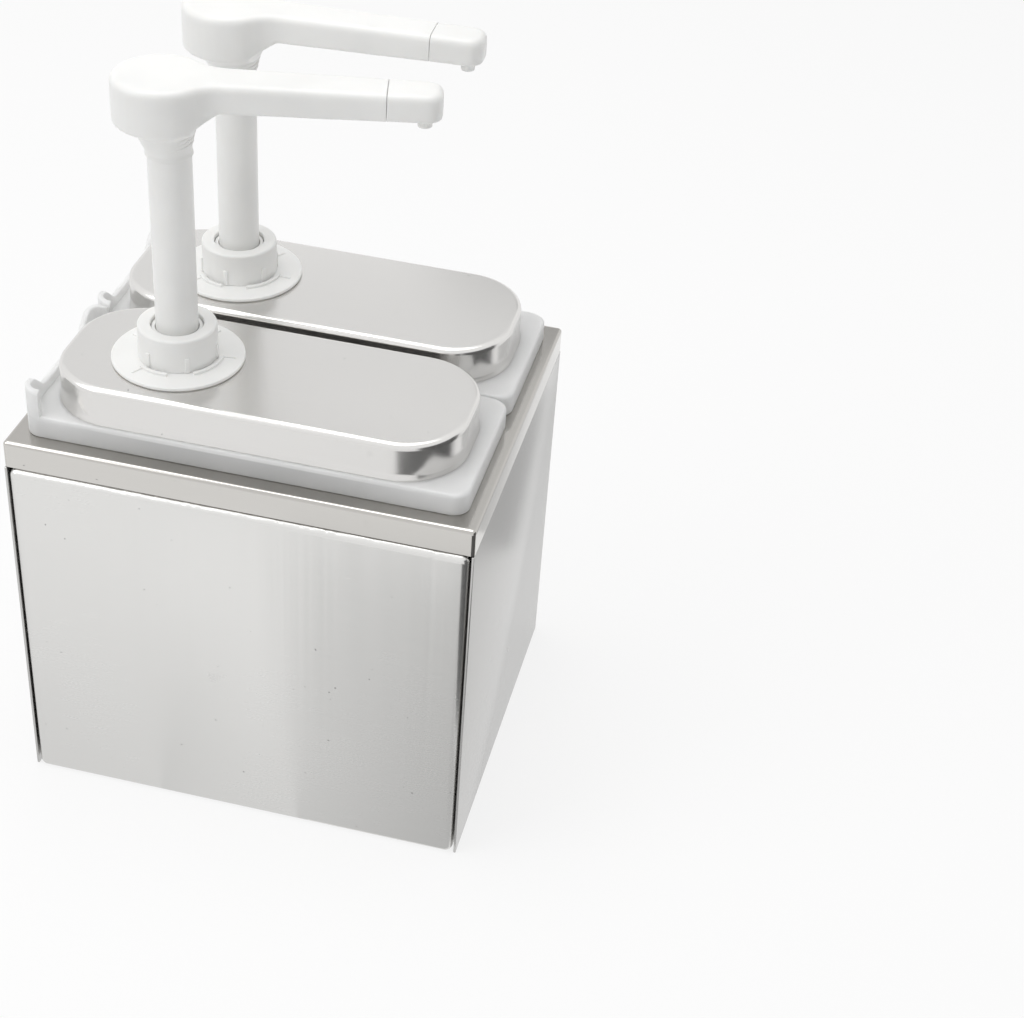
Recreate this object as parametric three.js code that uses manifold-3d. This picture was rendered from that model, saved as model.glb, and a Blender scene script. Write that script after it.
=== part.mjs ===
// Sauce dispenser: a folded steel housing with two lift-out jars, each with a lid and a push pump.
// Millimetres, +Z up. The origin is the centre of the housing's base, +X runs along the front
// panel and the front panel faces -Y.
import * as THREE from 'three';
import { mergeVertices, mergeGeometries } from 'three/addons/utils/BufferGeometryUtils.js';
import Module from 'manifold-3d';

const wasm = await Module();
wasm.setup();

// Housing
const housingWidth = 230;
const housingDepth = 192;
const housingHeight = 207;
const endLedge = 7;
const sideLedge = 10.5;
const sheet = 1.2;
const bandHeight = 14;
const frameCornerRadius = 2;
const trayProud = 1.5;
const trayReturn = 10;
const trayCornerRadius = 4;
const trayBendRadius = 2.6;
const traySideGap = 0.9;
const trayTopGap = 0.6;
const sideFlange = 14;
const baseRim = 12;
const openingGap = 1;

// Jars
const jarGap = 1;
const flangeRadius = 8;
const flangeRise = 11.5;
const jarWall = 2.5;
const bodyEndStep = 10;
const bodySideStep = 6.5;
const bodyRadius = 26;
const bodyDraft = 4;
const jarFloorZ = 6;
const floorRadius = 6;
const neckEndStep = 10;
const neckSideStep = 4.5;
const neckRadius = 29.5;
const neckRise = 14;
const endWallRise = 15;
const endWallThick = 3;
const endWallReach = 9;
const endWallLand = 8.5;
const scoopRise = 2.5;
const scoopRamp = 14;

// Lids
const lidOverlap = 2.5;
const lidHeight = 19.5;
const lidSheet = 1;
const lidEdgeRadius = 3;
const lidLip = 0.7;
const lidLipHeight = 1.6;

// Pump, from the lid up
const pumpSetback = 52.5;
const plateRadius = 31.6;
const plateThick = 2;
const plateRimBevel = 0.8;
const hubGap = 0.7;
const hubWidth = 2;
const hubRise = 1.2;
const hubSlots = 6;
const hubSlotWidth = 4;
const plateRibs = 6;
const plateRibLength = 5;
const plateRibWidth = 1;
const plateRibRise = 0.6;
const nutHeight = 17;
const nutWall = 3.2;
const nutHoleGap = 2.5;
const nutEdge = 1;
const nutRibs = 6;
const nutRibWidth = 1.4;
const nutRibHeight = 8;
const nutRibRise = 0.7;
const guideFlange = 2;
const guideDepth = 8;
const guideWall = 2.4;
const stemRadius = 10;
const stemStep = 1.8;
const stemWall = 2.7;
const stemSpigotLength = 21.5;

// Pump, below the lid
const gasketThick = 1.5;
const cylinderFlangeRadius = 26;
const cylinderFlange = 3;
const barrelWall = 2;
const barrelLength = 100;
const barrelFloor = 3;
const threadRise = 0.3;
const threadPitch = 4;
const threadTurns = 2;
const spigotLength = 8;
const valveWall = 2.7;
const valveFloor = 7;
const valveTaper = 5;
const valveNeck = 3;
const tubeSpigot = 8;
const tubeBore = 6;
const tubeWall = 2;
const tubeFloorGap = 6;

// Check valves
const ballRadius = 4.5;
const ballPlay = 0.7;
const ballTravel = 1.5;
const portStep = 1;
const seatHeight = 1.5;
const stopStep = 0.5;
const stopThick = 4;

// Piston and spring
const pistonHeight = 18;
const socketDepth = 6;
const grooveDepth = 1.9;
const grooveHeight = 4;
const grooveRise = 5;
const sealProud = 0.15;
const wireRadius = 0.8;
const coilGap = 2;
const coilTurns = 8;

// Head
const headRise = 125;
const drumRadius = 22.5;
const drumBack = 2;
const drumHeight = 21.3;
const drumCone = 5.5;
const headEdge = 3.4;
const blendRadius = 18;
const spoutHeight = 13.5;
const spoutThinning = 1;
const spoutWidth = 22;
const spoutNarrowing = 2;
const spoutReach = 120.5;
const tipLength = 24.5;
const slopeRun = 10;
const slopeRise = 7;
const tipCornerRadius = 7;
const neckHeight = 11;
const neckStep = 0.4;
const neckFlare = 3.2;
const neckRings = 3;
const neckGroove = 0.5;
const passageRadius = 3.8;
const tipSpigotWall = 1;
const tipSpigotLength = 8;
const outletSetback = 7.8;
const outletRadius = 3.3;
const outletBore = 2.1;
const outletDrop = 5.5;

// How each pump is turned, in degrees
const turns = {
  front: { head: 13, nut: 4, plate: 6 },
  rear: { head: 2.5, nut: 28, plate: -5 },
};

// Fits, cutting and fineness
const clearance = 0.3;
const overrun = 1;
const mergeTolerance = 1e-4;
const pumpSides = 24;
const innerSides = 16;
const cornerSteps = 5;
const bendSteps = 3;
const arcSteps = 6;
const wireSides = 5;
const wireStepsPerTurn = 8;
const ballSides = 12;

// Outlines that follow from the sizes above
const flangeLength = housingWidth - 2 * endLedge;
const flangeWidth = (housingDepth - 2 * sideLedge - jarGap) / 2;
const jarPitch = flangeWidth + jarGap;
const bodyLength = flangeLength - 2 * bodyEndStep;
const bodyWidth = flangeWidth - 2 * bodySideStep;
const neckLength = flangeLength - 2 * neckEndStep;
const neckWidth = flangeWidth - 2 * neckSideStep;
const scoopWidth = flangeWidth - 2 * (endWallLand + scoopRamp);
const lidLength = neckLength + 2 * lidOverlap;
const lidWidth = neckWidth + 2 * lidOverlap;
const lidRadius = neckRadius + lidOverlap;
const pumpX = pumpSetback - neckLength / 2;
const spoutTipHeight = spoutHeight - spoutThinning;
const spoutTipWidth = spoutWidth - spoutNarrowing;
const spoutSeam = spoutReach - tipLength;

// Radii that follow, from the stem outwards
const stemPort = stemRadius + clearance;
const stemSpigotRadius = stemRadius - stemStep;
const stemBore = stemSpigotRadius - stemWall;
const barrelBore = stemPort + guideWall + clearance;
const barrelRadius = barrelBore + barrelWall;
const nutBore = barrelRadius + threadRise + clearance;
const nutRadius = nutBore + nutWall;
const nutHoleRadius = stemRadius + nutHoleGap;
const hubBore = nutRadius + nutRibRise + hubGap;
const hubRadius = hubBore + hubWidth;
const spigotRadius = barrelRadius - valveWall - clearance;
const tubeRadius = tubeBore + tubeWall;
const portRadius = ballRadius - portStep;
const stopRadius = ballRadius - stopStep;
const chamberRadius = ballRadius + ballPlay;
const chamberHeight = 2 * ballRadius + ballTravel;
const pistonRadius = barrelBore - clearance;
const coilRadius = barrelBore - coilGap;
const neckFootRadius = stemRadius + neckStep;
const neckTopRadius = neckFootRadius + neckFlare;
const slopeEnd = neckTopRadius + slopeRun;

// Heights that follow
const trayHeight = housingHeight - bandHeight - trayTopGap;
const frameDepth = housingDepth - 2 * trayProud;
const flangeTopZ = housingHeight + flangeRise;
const lidTopZ = flangeTopZ + lidHeight;
const gasketTopZ = lidTopZ - lidSheet;
const cylinderFlangeTopZ = gasketTopZ - gasketThick;
const cylinderFlangeZ = cylinderFlangeTopZ - cylinderFlange;
const plateTopZ = lidTopZ + plateThick;
const nutTopZ = plateTopZ + nutHeight;
const nutCeilingZ = nutTopZ - nutWall;
const guideTopZ = nutCeilingZ - clearance;
const cylinderTopZ = guideTopZ - guideFlange;
const guideFootZ = cylinderTopZ - guideDepth;
const barrelFootZ = cylinderFlangeZ - barrelLength;
const barrelFloorZ = barrelFootZ + barrelFloor;
const spigotFootZ = barrelFootZ - spigotLength;
const valveFootZ = spigotFootZ - valveFloor;
const tubeTopZ = valveFootZ - valveTaper - valveNeck;
const pistonTopZ = guideFootZ - clearance;
const pistonFootZ = pistonTopZ - pistonHeight;
const stemFootZ = pistonTopZ - socketDepth;
const headTopZ = nutTopZ + headRise;
const drumFootZ = headTopZ - drumHeight;
const neckTopZ = drumFootZ - drumCone;
const neckFootZ = neckTopZ - neckHeight;
const stemTopZ = neckFootZ + stemSpigotLength;
const passageZ = headTopZ - spoutHeight / 2;

// Finishes
const finishes = {
  steel: { color: 0xb9b8b5, metalness: 1, roughness: 0.3 },
  wire: { color: 0xa9abad, metalness: 1, roughness: 0.25 },
  white: { color: 0xf0f0ee, metalness: 0, roughness: 0.35 },
  jar: { color: 0xe6e9ea, metalness: 0, roughness: 0.5, transparent: true, opacity: 0.7 },
  rubber: { color: 0x2b2b2b, metalness: 0, roughness: 0.8 },
};

// Triangles as index triples, all facing out of the body that they close
function facingOut(positions, triangles) {
  const corner = [new THREE.Vector3(), new THREE.Vector3(), new THREE.Vector3()];
  let volume = 0;
  for (const triangle of triangles) {
    triangle.forEach((vertex, i) => corner[i].fromArray(positions, 3 * vertex));
    volume += corner[0].dot(corner[1].cross(corner[2]));
  }
  return volume > 0 ? triangles : triangles.map(([i, j, k]) => [i, k, j]);
}

// A closed geometry as a solid that can be joined and cut
function solid(geometry) {
  const bare = geometry.clone();
  bare.deleteAttribute('normal');
  bare.deleteAttribute('uv');
  const merged = mergeVertices(bare, mergeTolerance);
  const vertProperties = merged.getAttribute('position').array;
  const index = merged.index.array;
  const triangles = [];
  for (let i = 0; i < index.length; i += 3) {
    const [a, b, c] = [index[i], index[i + 1], index[i + 2]];
    if (a !== b && b !== c && c !== a) triangles.push([a, b, c]);
  }
  const triVerts = Uint32Array.from(facingOut(vertProperties, triangles).flat());
  return new wasm.Manifold(new wasm.Mesh({ numProp: 3, vertProperties, triVerts }));
}

function geometryOf(body) {
  const { vertProperties, triVerts } = body.getMesh();
  const geometry = new THREE.BufferGeometry();
  geometry.setAttribute('position', new THREE.BufferAttribute(vertProperties, 3));
  geometry.setIndex(new THREE.BufferAttribute(triVerts, 1));
  return geometry;
}

function joined(first, ...others) {
  return others.reduce((whole, other) => whole.add(other), first);
}

function cut(first, ...tools) {
  return tools.reduce((whole, tool) => whole.subtract(tool), first);
}

function piece(name, body, finish) {
  const geometry = geometryOf(body);
  geometry.computeVertexNormals();
  const mesh = new THREE.Mesh(geometry, new THREE.MeshStandardMaterial(finishes[finish]));
  mesh.name = name;
  return mesh;
}

// Basic shapes
function block(low, high) {
  const size = high.map((value, axis) => value - low[axis]);
  const middle = high.map((value, axis) => (value + low[axis]) / 2);
  return new THREE.BoxGeometry(...size).translate(...middle);
}

function box(low, high) {
  return solid(block(low, high));
}

// The same block repeated round the Z axis
function ringOf(count, turn, low, high) {
  const blocks = [];
  for (let i = 0; i < count; i += 1) {
    blocks.push(block(low, high).rotateZ(THREE.MathUtils.degToRad(turn) + (2 * Math.PI * i) / count));
  }
  return solid(mergeGeometries(blocks));
}

// A solid of revolution about Z from a profile of [radius, height] points
function turnedGeometry(profile, sides) {
  const points = profile.map(([radius, height]) => new THREE.Vector2(radius, height));
  if (points[0].x > 0) points.push(points[0].clone());
  return new THREE.LatheGeometry(points, sides).rotateX(Math.PI / 2);
}

function turned(profile, sides = pumpSides) {
  return solid(turnedGeometry(profile, sides));
}

function rodGeometry(radius, low, high) {
  return turnedGeometry([[0, low], [radius, low], [radius, high], [0, high]], pumpSides);
}

// A rod along +X at a given height
function crossRod(radius, lowX, highX, z) {
  return solid(rodGeometry(radius, lowX, highX).rotateY(Math.PI / 2).translate(0, 0, z));
}

// A rectangle with round corners, anticlockwise, drawn in from its size by an inset
function roundedOutline(length, width, radius, inset = 0, steps = cornerSteps) {
  const round = radius - inset;
  const points = [];
  const corners = [[1, 1], [-1, 1], [-1, -1], [1, -1]];
  corners.forEach(([sideX, sideY], quarter) => {
    const centre = new THREE.Vector2(sideX * (length / 2 - radius), sideY * (width / 2 - radius));
    for (let step = 0; step <= steps; step += 1) {
      const angle = (quarter + step / steps) * (Math.PI / 2);
      points.push(new THREE.Vector2(round * Math.cos(angle), round * Math.sin(angle)).add(centre));
    }
  });
  return points;
}

function upright(outline, lowZ, highZ, y = 0) {
  const shape = new THREE.Shape(outline);
  const geometry = new THREE.ExtrudeGeometry(shape, { depth: highZ - lowZ, bevelEnabled: false });
  return solid(geometry.translate(0, y, lowZ));
}

// A skin through stacked outlines of equal count, closed by a flat face at each end
function lofted(layers) {
  const count = layers[0].outline.length;
  const positions = layers.flatMap(({ outline, z }) => outline.flatMap((point) => [point.x, point.y, z]));
  const index = [];
  for (let layer = 0; layer + 1 < layers.length; layer += 1) {
    for (let i = 0; i < count; i += 1) {
      const a = layer * count + i;
      const b = layer * count + ((i + 1) % count);
      index.push(a, b, b + count, a, b + count, a + count);
    }
  }
  const top = (layers.length - 1) * count;
  for (const [a, b, c] of THREE.ShapeUtils.triangulateShape(layers[0].outline, [])) {
    index.push(a, c, b);
  }
  for (const [a, b, c] of THREE.ShapeUtils.triangulateShape(layers.at(-1).outline, [])) {
    index.push(top + a, top + b, top + c);
  }
  const geometry = new THREE.BufferGeometry();
  geometry.setAttribute('position', new THREE.Float32BufferAttribute(positions, 3));
  geometry.setIndex(index);
  return solid(geometry);
}

// Layers that round the top edge of an outline, from its wall to its flat top
function roundedTop(outlineAt, startInset, radius, topZ) {
  const layers = [];
  for (let step = 0; step <= bendSteps; step += 1) {
    const angle = (step / bendSteps) * (Math.PI / 2);
    const outline = outlineAt(startInset + radius * (1 - Math.cos(angle)));
    layers.push({ outline, z: topZ - radius * (1 - Math.sin(angle)) });
  }
  return layers;
}

// Housing. A tray is the front or rear panel: a sheet with all four edges folded inwards
function frontTray() {
  const width = housingWidth - 2 * (sheet + traySideGap);
  const shell = (inset) => {
    const outline = roundedOutline(width, trayHeight, trayCornerRadius, inset);
    const bend = trayBendRadius - inset;
    const geometry = new THREE.ExtrudeGeometry(new THREE.Shape(outline), {
      depth: trayReturn,
      bevelThickness: bend,
      bevelSize: bend,
      bevelOffset: -bend,
      bevelSegments: bendSteps,
    });
    const faceY = inset - housingDepth / 2;
    return solid(geometry.rotateX(Math.PI / 2).translate(0, faceY + trayReturn + bend, trayHeight / 2));
  };
  const backY = trayReturn - housingDepth / 2;
  const behind = box([-housingWidth, backY, -overrun], [housingWidth, 0, housingHeight]);
  return cut(shell(0), shell(sheet), behind);
}

function rearTray() {
  return solid(geometryOf(frontTray()).scale(1, -1, 1));
}

// The right panel: web, two upright flanges behind the trays, and a tongue stepped in under the band
function rightPanel() {
  const outerX = housingWidth / 2;
  const innerX = outerX - sheet;
  const flangeX = outerX - sideFlange;
  const webY = housingDepth / 2 - trayProud;
  const flangeY = housingDepth / 2 - trayReturn;
  const tongueY = flangeY - sheet;
  const stepZ = trayHeight - sheet;
  return joined(
    box([innerX, -webY, 0], [outerX, webY, trayHeight]),
    box([flangeX, -flangeY, 0], [outerX, -tongueY, trayHeight]),
    box([flangeX, tongueY, 0], [outerX, flangeY, trayHeight]),
    box([innerX - sheet, -tongueY, stepZ], [outerX, tongueY, trayHeight]),
    box([innerX - sheet, -tongueY, stepZ], [innerX, tongueY, housingHeight - sheet]),
  );
}

function leftPanel() {
  return solid(geometryOf(rightPanel()).scale(-1, 1, 1));
}

function basePlate() {
  const halfX = housingWidth / 2 - sheet;
  const halfY = housingDepth / 2 - trayReturn - sheet;
  return cut(
    box([-halfX, -halfY, 0], [halfX, halfY, baseRim]),
    box([sheet - halfX, sheet - halfY, sheet], [halfX - sheet, halfY - sheet, baseRim + overrun]),
  );
}

// The top frame: a ledge with an opening for each jar and a band turned down all round
function topFrame() {
  const bandZ = housingHeight - bandHeight;
  const outline = roundedOutline(housingWidth, frameDepth, frameCornerRadius, 0, bendSteps);
  const hollow = box(
    [sheet - housingWidth / 2, sheet - frameDepth / 2, bandZ - overrun],
    [housingWidth / 2 - sheet, frameDepth / 2 - sheet, housingHeight - sheet],
  );
  const opening = roundedOutline(bodyLength, bodyWidth, bodyRadius, -openingGap);
  const places = [-jarPitch / 2, jarPitch / 2];
  const openings = places.map((y) => upright(opening, bandZ, housingHeight + overrun, y));
  return cut(upright(outline, bandZ, housingHeight), hollow, ...openings);
}

// Jar: tapered body, hollow flange that rests on the frame, neck under the lid, end wall
function jar() {
  const underFlangeZ = flangeTopZ - jarWall;
  const neckTop = flangeTopZ + neckRise;
  const skin = (inset, floorZ, topZ) => {
    const bodyAt = (draft) => roundedOutline(bodyLength, bodyWidth, bodyRadius, inset + draft);
    const layer = (draft, z) => ({ outline: bodyAt(draft), z });
    const halfway = floorRadius * (1 - Math.SQRT1_2);
    return lofted([
      layer(bodyDraft + floorRadius, floorZ),
      layer(bodyDraft + halfway, floorZ + halfway),
      layer(bodyDraft, floorZ + floorRadius),
      layer(0, topZ),
    ]);
  };
  const flangeAt = (inset) => roundedOutline(flangeLength, flangeWidth, flangeRadius, inset);
  const neckAt = (inset) => roundedOutline(neckLength, neckWidth, neckRadius, inset);
  const flange = cut(
    upright(flangeAt(0), housingHeight, flangeTopZ),
    upright(flangeAt(jarWall), housingHeight - overrun, underFlangeZ),
  );
  const outside = joined(flange, skin(0, jarFloorZ, flangeTopZ), upright(neckAt(0), underFlangeZ, neckTop));
  const cavity = skin(jarWall, jarFloorZ + jarWall, flangeTopZ);
  const mouth = upright(neckAt(jarWall), underFlangeZ, neckTop + overrun);
  return joined(cut(outside, cavity, mouth), endWall());
}

// The wall that stands on the flange's left end, with a scoop between its two corners
function endWall() {
  const lowZ = flangeTopZ - jarWall / 2;
  const highZ = flangeTopZ + endWallRise;
  const scoopZ = flangeTopZ + scoopRise;
  const halfWidth = flangeWidth / 2;
  const halfScoop = scoopWidth / 2;
  const outlineAt = (inset) => roundedOutline(flangeLength, flangeWidth, flangeRadius, inset);
  const ring = cut(
    upright(outlineAt(0), lowZ, highZ),
    upright(outlineAt(endWallThick), lowZ - overrun, highZ + overrun),
  );
  const rightHalf = [
    [halfScoop, scoopZ],
    [halfScoop + scoopRamp, highZ],
    [halfWidth - endWallThick, highZ],
    [halfWidth, highZ - endWallThick],
    [halfWidth, lowZ],
  ];
  const leftHalf = rightHalf.map(([y, z]) => [-y, z]).reverse();
  const profile = [...leftHalf, ...rightHalf].map(([y, z]) => new THREE.Vector2(y, z));
  const shape = new THREE.Shape(profile);
  const slab = new THREE.ExtrudeGeometry(shape, { depth: endWallReach, bevelEnabled: false });
  slab.rotateX(Math.PI / 2).rotateZ(Math.PI / 2).translate(-flangeLength / 2, 0, 0);
  return ring.intersect(solid(slab));
}

// Lid: a pressed cap with a small outward lip, a round top edge and a hole for the pump
function lid() {
  const outlineAt = (inset) => roundedOutline(lidLength, lidWidth, lidRadius, inset);
  const outer = lofted([
    { outline: outlineAt(0), z: flangeTopZ },
    { outline: outlineAt(0), z: flangeTopZ + lidLipHeight },
    { outline: outlineAt(lidLip), z: flangeTopZ + 2 * lidLipHeight },
    ...roundedTop(outlineAt, lidLip, lidEdgeRadius, lidTopZ),
  ]);
  const innerInset = lidSheet + lidLip;
  const inner = lofted([
    { outline: outlineAt(innerInset), z: flangeTopZ - overrun },
    ...roundedTop(outlineAt, innerInset, lidEdgeRadius - lidSheet, lidTopZ - lidSheet),
  ]);
  const hole = solid(rodGeometry(nutBore, flangeTopZ, lidTopZ + overrun).translate(pumpX, 0, 0));
  return cut(outer, inner, hole);
}

// Mounting plate: the white disc on the lid, with a slotted hub round the nut and short ribs
function mountingPlate(turn) {
  const bore = nutBore + clearance;
  const plate = turned([
    [bore, lidTopZ],
    [plateRadius, lidTopZ],
    [plateRadius, plateTopZ - plateRimBevel],
    [plateRadius - plateRimBevel, plateTopZ],
    [hubRadius, plateTopZ],
    [hubRadius, plateTopZ + hubRise],
    [hubBore, plateTopZ + hubRise],
    [hubBore, plateTopZ],
    [bore, plateTopZ],
  ]);
  const slots = ringOf(
    hubSlots,
    turn + 180 / hubSlots,
    [hubBore - overrun, -hubSlotWidth / 2, plateTopZ],
    [hubRadius + overrun, hubSlotWidth / 2, plateTopZ + hubRise + overrun],
  );
  const ribs = ringOf(
    plateRibs,
    turn,
    [hubRadius - hubWidth / 2, -plateRibWidth / 2, lidTopZ + plateThick / 2],
    [hubRadius + plateRibLength, plateRibWidth / 2, plateTopZ + plateRibRise],
  );
  return joined(cut(plate, slots), ribs);
}

function collarNut(turn) {
  const body = turned([
    [nutBore, plateTopZ],
    [nutRadius, plateTopZ],
    [nutRadius, nutTopZ - nutEdge],
    [nutRadius - nutEdge, nutTopZ],
    [nutHoleRadius, nutTopZ],
    [nutHoleRadius, nutCeilingZ],
    [nutBore, nutCeilingZ],
  ]);
  const ribs = ringOf(
    nutRibs,
    turn,
    [nutRadius - nutWall / 2, -nutRibWidth / 2, plateTopZ],
    [nutRadius + nutRibRise, nutRibWidth / 2, plateTopZ + nutRibHeight],
  );
  return joined(body, ribs);
}

// Bush that guides the stem, hung in the cylinder's neck and trapped by the nut
function stemGuide() {
  return turned([
    [stemPort, guideFootZ],
    [barrelBore - clearance, guideFootZ],
    [barrelBore - clearance, cylinderTopZ],
    [barrelRadius, cylinderTopZ],
    [barrelRadius, guideTopZ],
    [stemPort, guideTopZ],
  ]);
}

function cylinderGasket() {
  return turned([
    [nutBore, cylinderFlangeTopZ],
    [cylinderFlangeRadius, cylinderFlangeTopZ],
    [cylinderFlangeRadius, gasketTopZ],
    [nutBore, gasketTopZ],
  ], innerSides);
}

// Cylinder: threaded neck through the lid, flange under it, barrel, and a spigot with the ball's ceiling
function cylinder() {
  const threads = [];
  for (let turn = 0; turn < threadTurns; turn += 1) {
    const rootZ = plateTopZ + (turn + 1 / 2) * threadPitch;
    threads.push([barrelRadius, rootZ]);
    threads.push([barrelRadius + threadRise, rootZ + threadPitch / 4]);
    threads.push([barrelRadius, rootZ + threadPitch / 2]);
  }
  return turned([
    [barrelBore, cylinderTopZ],
    [barrelBore, barrelFloorZ],
    [portRadius, barrelFloorZ],
    [portRadius, barrelFootZ],
    [chamberRadius, barrelFootZ],
    [chamberRadius, spigotFootZ],
    [spigotRadius, spigotFootZ],
    [spigotRadius, barrelFootZ],
    [barrelRadius, barrelFootZ],
    [barrelRadius, cylinderFlangeZ],
    [cylinderFlangeRadius, cylinderFlangeZ],
    [cylinderFlangeRadius, cylinderFlangeTopZ],
    [barrelRadius, cylinderFlangeTopZ],
    ...threads,
    [barrelRadius, cylinderTopZ],
  ], innerSides);
}

// Foot valve: a cup on the cylinder's spigot with the inlet seat, and a spigot for the dip tube
function footValve() {
  const seatZ = barrelFootZ - chamberHeight;
  return turned([
    [portRadius, tubeTopZ - tubeSpigot],
    [tubeBore - clearance, tubeTopZ - tubeSpigot],
    [tubeBore - clearance, tubeTopZ],
    [tubeRadius, tubeTopZ],
    [tubeRadius, tubeTopZ + valveNeck],
    [barrelRadius, valveFootZ],
    [barrelRadius, barrelFootZ - clearance],
    [spigotRadius + clearance, barrelFootZ - clearance],
    [spigotRadius + clearance, spigotFootZ],
    [chamberRadius, spigotFootZ],
    [chamberRadius, seatZ + seatHeight],
    [portRadius, seatZ],
  ], innerSides);
}

function dipTube() {
  const footZ = jarFloorZ + jarWall + tubeFloorGap;
  const profile = [[tubeBore, footZ], [tubeRadius, footZ], [tubeRadius, tubeTopZ], [tubeBore, tubeTopZ]];
  return turned(profile, innerSides);
}

// A check ball at rest just clear of the conical seat above a port
function checkBall(ceilingZ) {
  const seatWidth = chamberRadius - portRadius;
  const slope = Math.hypot(seatWidth, seatHeight);
  const rise = ((ballRadius + clearance) * slope - portRadius * seatHeight) / seatWidth;
  const ball = new THREE.SphereGeometry(ballRadius, ballSides, ballSides / 2).rotateX(Math.PI / 2);
  return solid(ball.translate(0, 0, ceilingZ - chamberHeight + rise));
}

function piston() {
  const grooveZ = pistonFootZ + grooveRise;
  const seatZ = stemFootZ - chamberHeight;
  return turned([
    [portRadius, pistonFootZ],
    [pistonRadius, pistonFootZ],
    [pistonRadius, grooveZ],
    [pistonRadius - grooveDepth, grooveZ],
    [pistonRadius - grooveDepth, grooveZ + grooveHeight],
    [pistonRadius, grooveZ + grooveHeight],
    [pistonRadius, pistonTopZ],
    [stemPort, pistonTopZ],
    [stemPort, stemFootZ],
    [chamberRadius, stemFootZ],
    [chamberRadius, seatZ + seatHeight],
    [portRadius, seatZ],
  ], innerSides);
}

function pistonSeal() {
  const inner = pistonRadius - grooveDepth + clearance;
  const outer = pistonRadius + sealProud;
  const lowZ = pistonFootZ + grooveRise;
  const highZ = lowZ + grooveHeight - clearance;
  return turned([[inner, lowZ], [outer, lowZ], [outer, highZ], [inner, highZ]], innerSides);
}

// Stem: a tube whose foot is narrow enough to stop the outlet ball
function stem() {
  const shoulderZ = neckFootZ - clearance;
  return turned([
    [stopRadius, stemFootZ],
    [stemRadius, stemFootZ],
    [stemRadius, shoulderZ],
    [stemSpigotRadius, shoulderZ],
    [stemSpigotRadius, stemTopZ],
    [stemBore, stemTopZ],
    [stemBore, stemFootZ + stopThick],
    [stopRadius, stemFootZ + stopThick],
  ]);
}

// Return spring: one round wire in a helix between the barrel's floor and the piston
function springPoints() {
  const lowZ = barrelFloorZ + wireRadius + clearance;
  const highZ = pistonFootZ - wireRadius - clearance;
  const steps = coilTurns * wireStepsPerTurn;
  const points = [];
  for (let step = 0; step <= steps; step += 1) {
    const angle = (step / wireStepsPerTurn) * 2 * Math.PI;
    const z = lowZ + (step / steps) * (highZ - lowZ);
    points.push(new THREE.Vector3(coilRadius * Math.cos(angle), coilRadius * Math.sin(angle), z));
  }
  return points;
}

function returnSpring() {
  const rings = springPoints().map((point) => {
    const outward = new THREE.Vector3(point.x, point.y, 0).normalize();
    return Array.from({ length: wireSides }, (_, side) => {
      const angle = (side / wireSides) * 2 * Math.PI;
      const rim = point.clone().addScaledVector(outward, wireRadius * Math.cos(angle));
      return rim.setZ(rim.z + wireRadius * Math.sin(angle));
    });
  });
  const index = [];
  for (let ring = 0; ring + 1 < rings.length; ring += 1) {
    for (let side = 0; side < wireSides; side += 1) {
      const a = ring * wireSides + side;
      const b = ring * wireSides + ((side + 1) % wireSides);
      index.push(a, b, b + wireSides, a, b + wireSides, a + wireSides);
    }
  }
  const last = (rings.length - 1) * wireSides;
  for (let side = 1; side + 1 < wireSides; side += 1) {
    index.push(0, side + 1, side, last, last + side, last + side + 1);
  }
  const geometry = new THREE.BufferGeometry().setFromPoints(rings.flat());
  geometry.setIndex(index);
  return solid(geometry);
}

// The least gap between one turn of the spring and the next
function leastSpringGap() {
  const points = springPoints();
  const distances = points.flatMap((point, i) =>
    points.slice(i + wireStepsPerTurn / 2).map((other) => point.distanceTo(other)));
  return Math.min(...distances) - 2 * wireRadius;
}

// Head. Seen from above, drum and spout share one keyhole outline with the spout along +X
function headOutline(inset) {
  const radius = drumRadius - inset;
  const half = spoutWidth / 2 - inset;
  const blend = blendRadius + inset;
  const blendX = Math.sqrt((radius + blend) ** 2 - (half + blend) ** 2);
  const joinAngle = Math.atan2(half + blend, blendX);
  const tipRound = tipCornerRadius - inset;
  const tipCentre = new THREE.Vector2(spoutReach - tipCornerRadius, spoutTipWidth / 2 - tipCornerRadius);
  const arc = (centreX, centreY, round, from, to, first = 0) => {
    const points = [];
    for (let step = first; step <= arcSteps; step += 1) {
      const angle = from + (step / arcSteps) * (to - from);
      points.push(new THREE.Vector2(centreX + round * Math.cos(angle), centreY + round * Math.sin(angle)));
    }
    return points;
  };
  const upper = [
    ...arc(tipCentre.x, tipCentre.y, tipRound, 0, Math.PI / 2),
    ...arc(blendX - drumBack, half + blend, blend, -Math.PI / 2, joinAngle - Math.PI),
    ...arc(-drumBack, 0, radius, joinAngle, Math.PI, 1),
  ];
  const lower = upper.slice(0, -1).reverse().map((point) => new THREE.Vector2(point.x, -point.y));
  return [...upper, ...lower];
}

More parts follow.
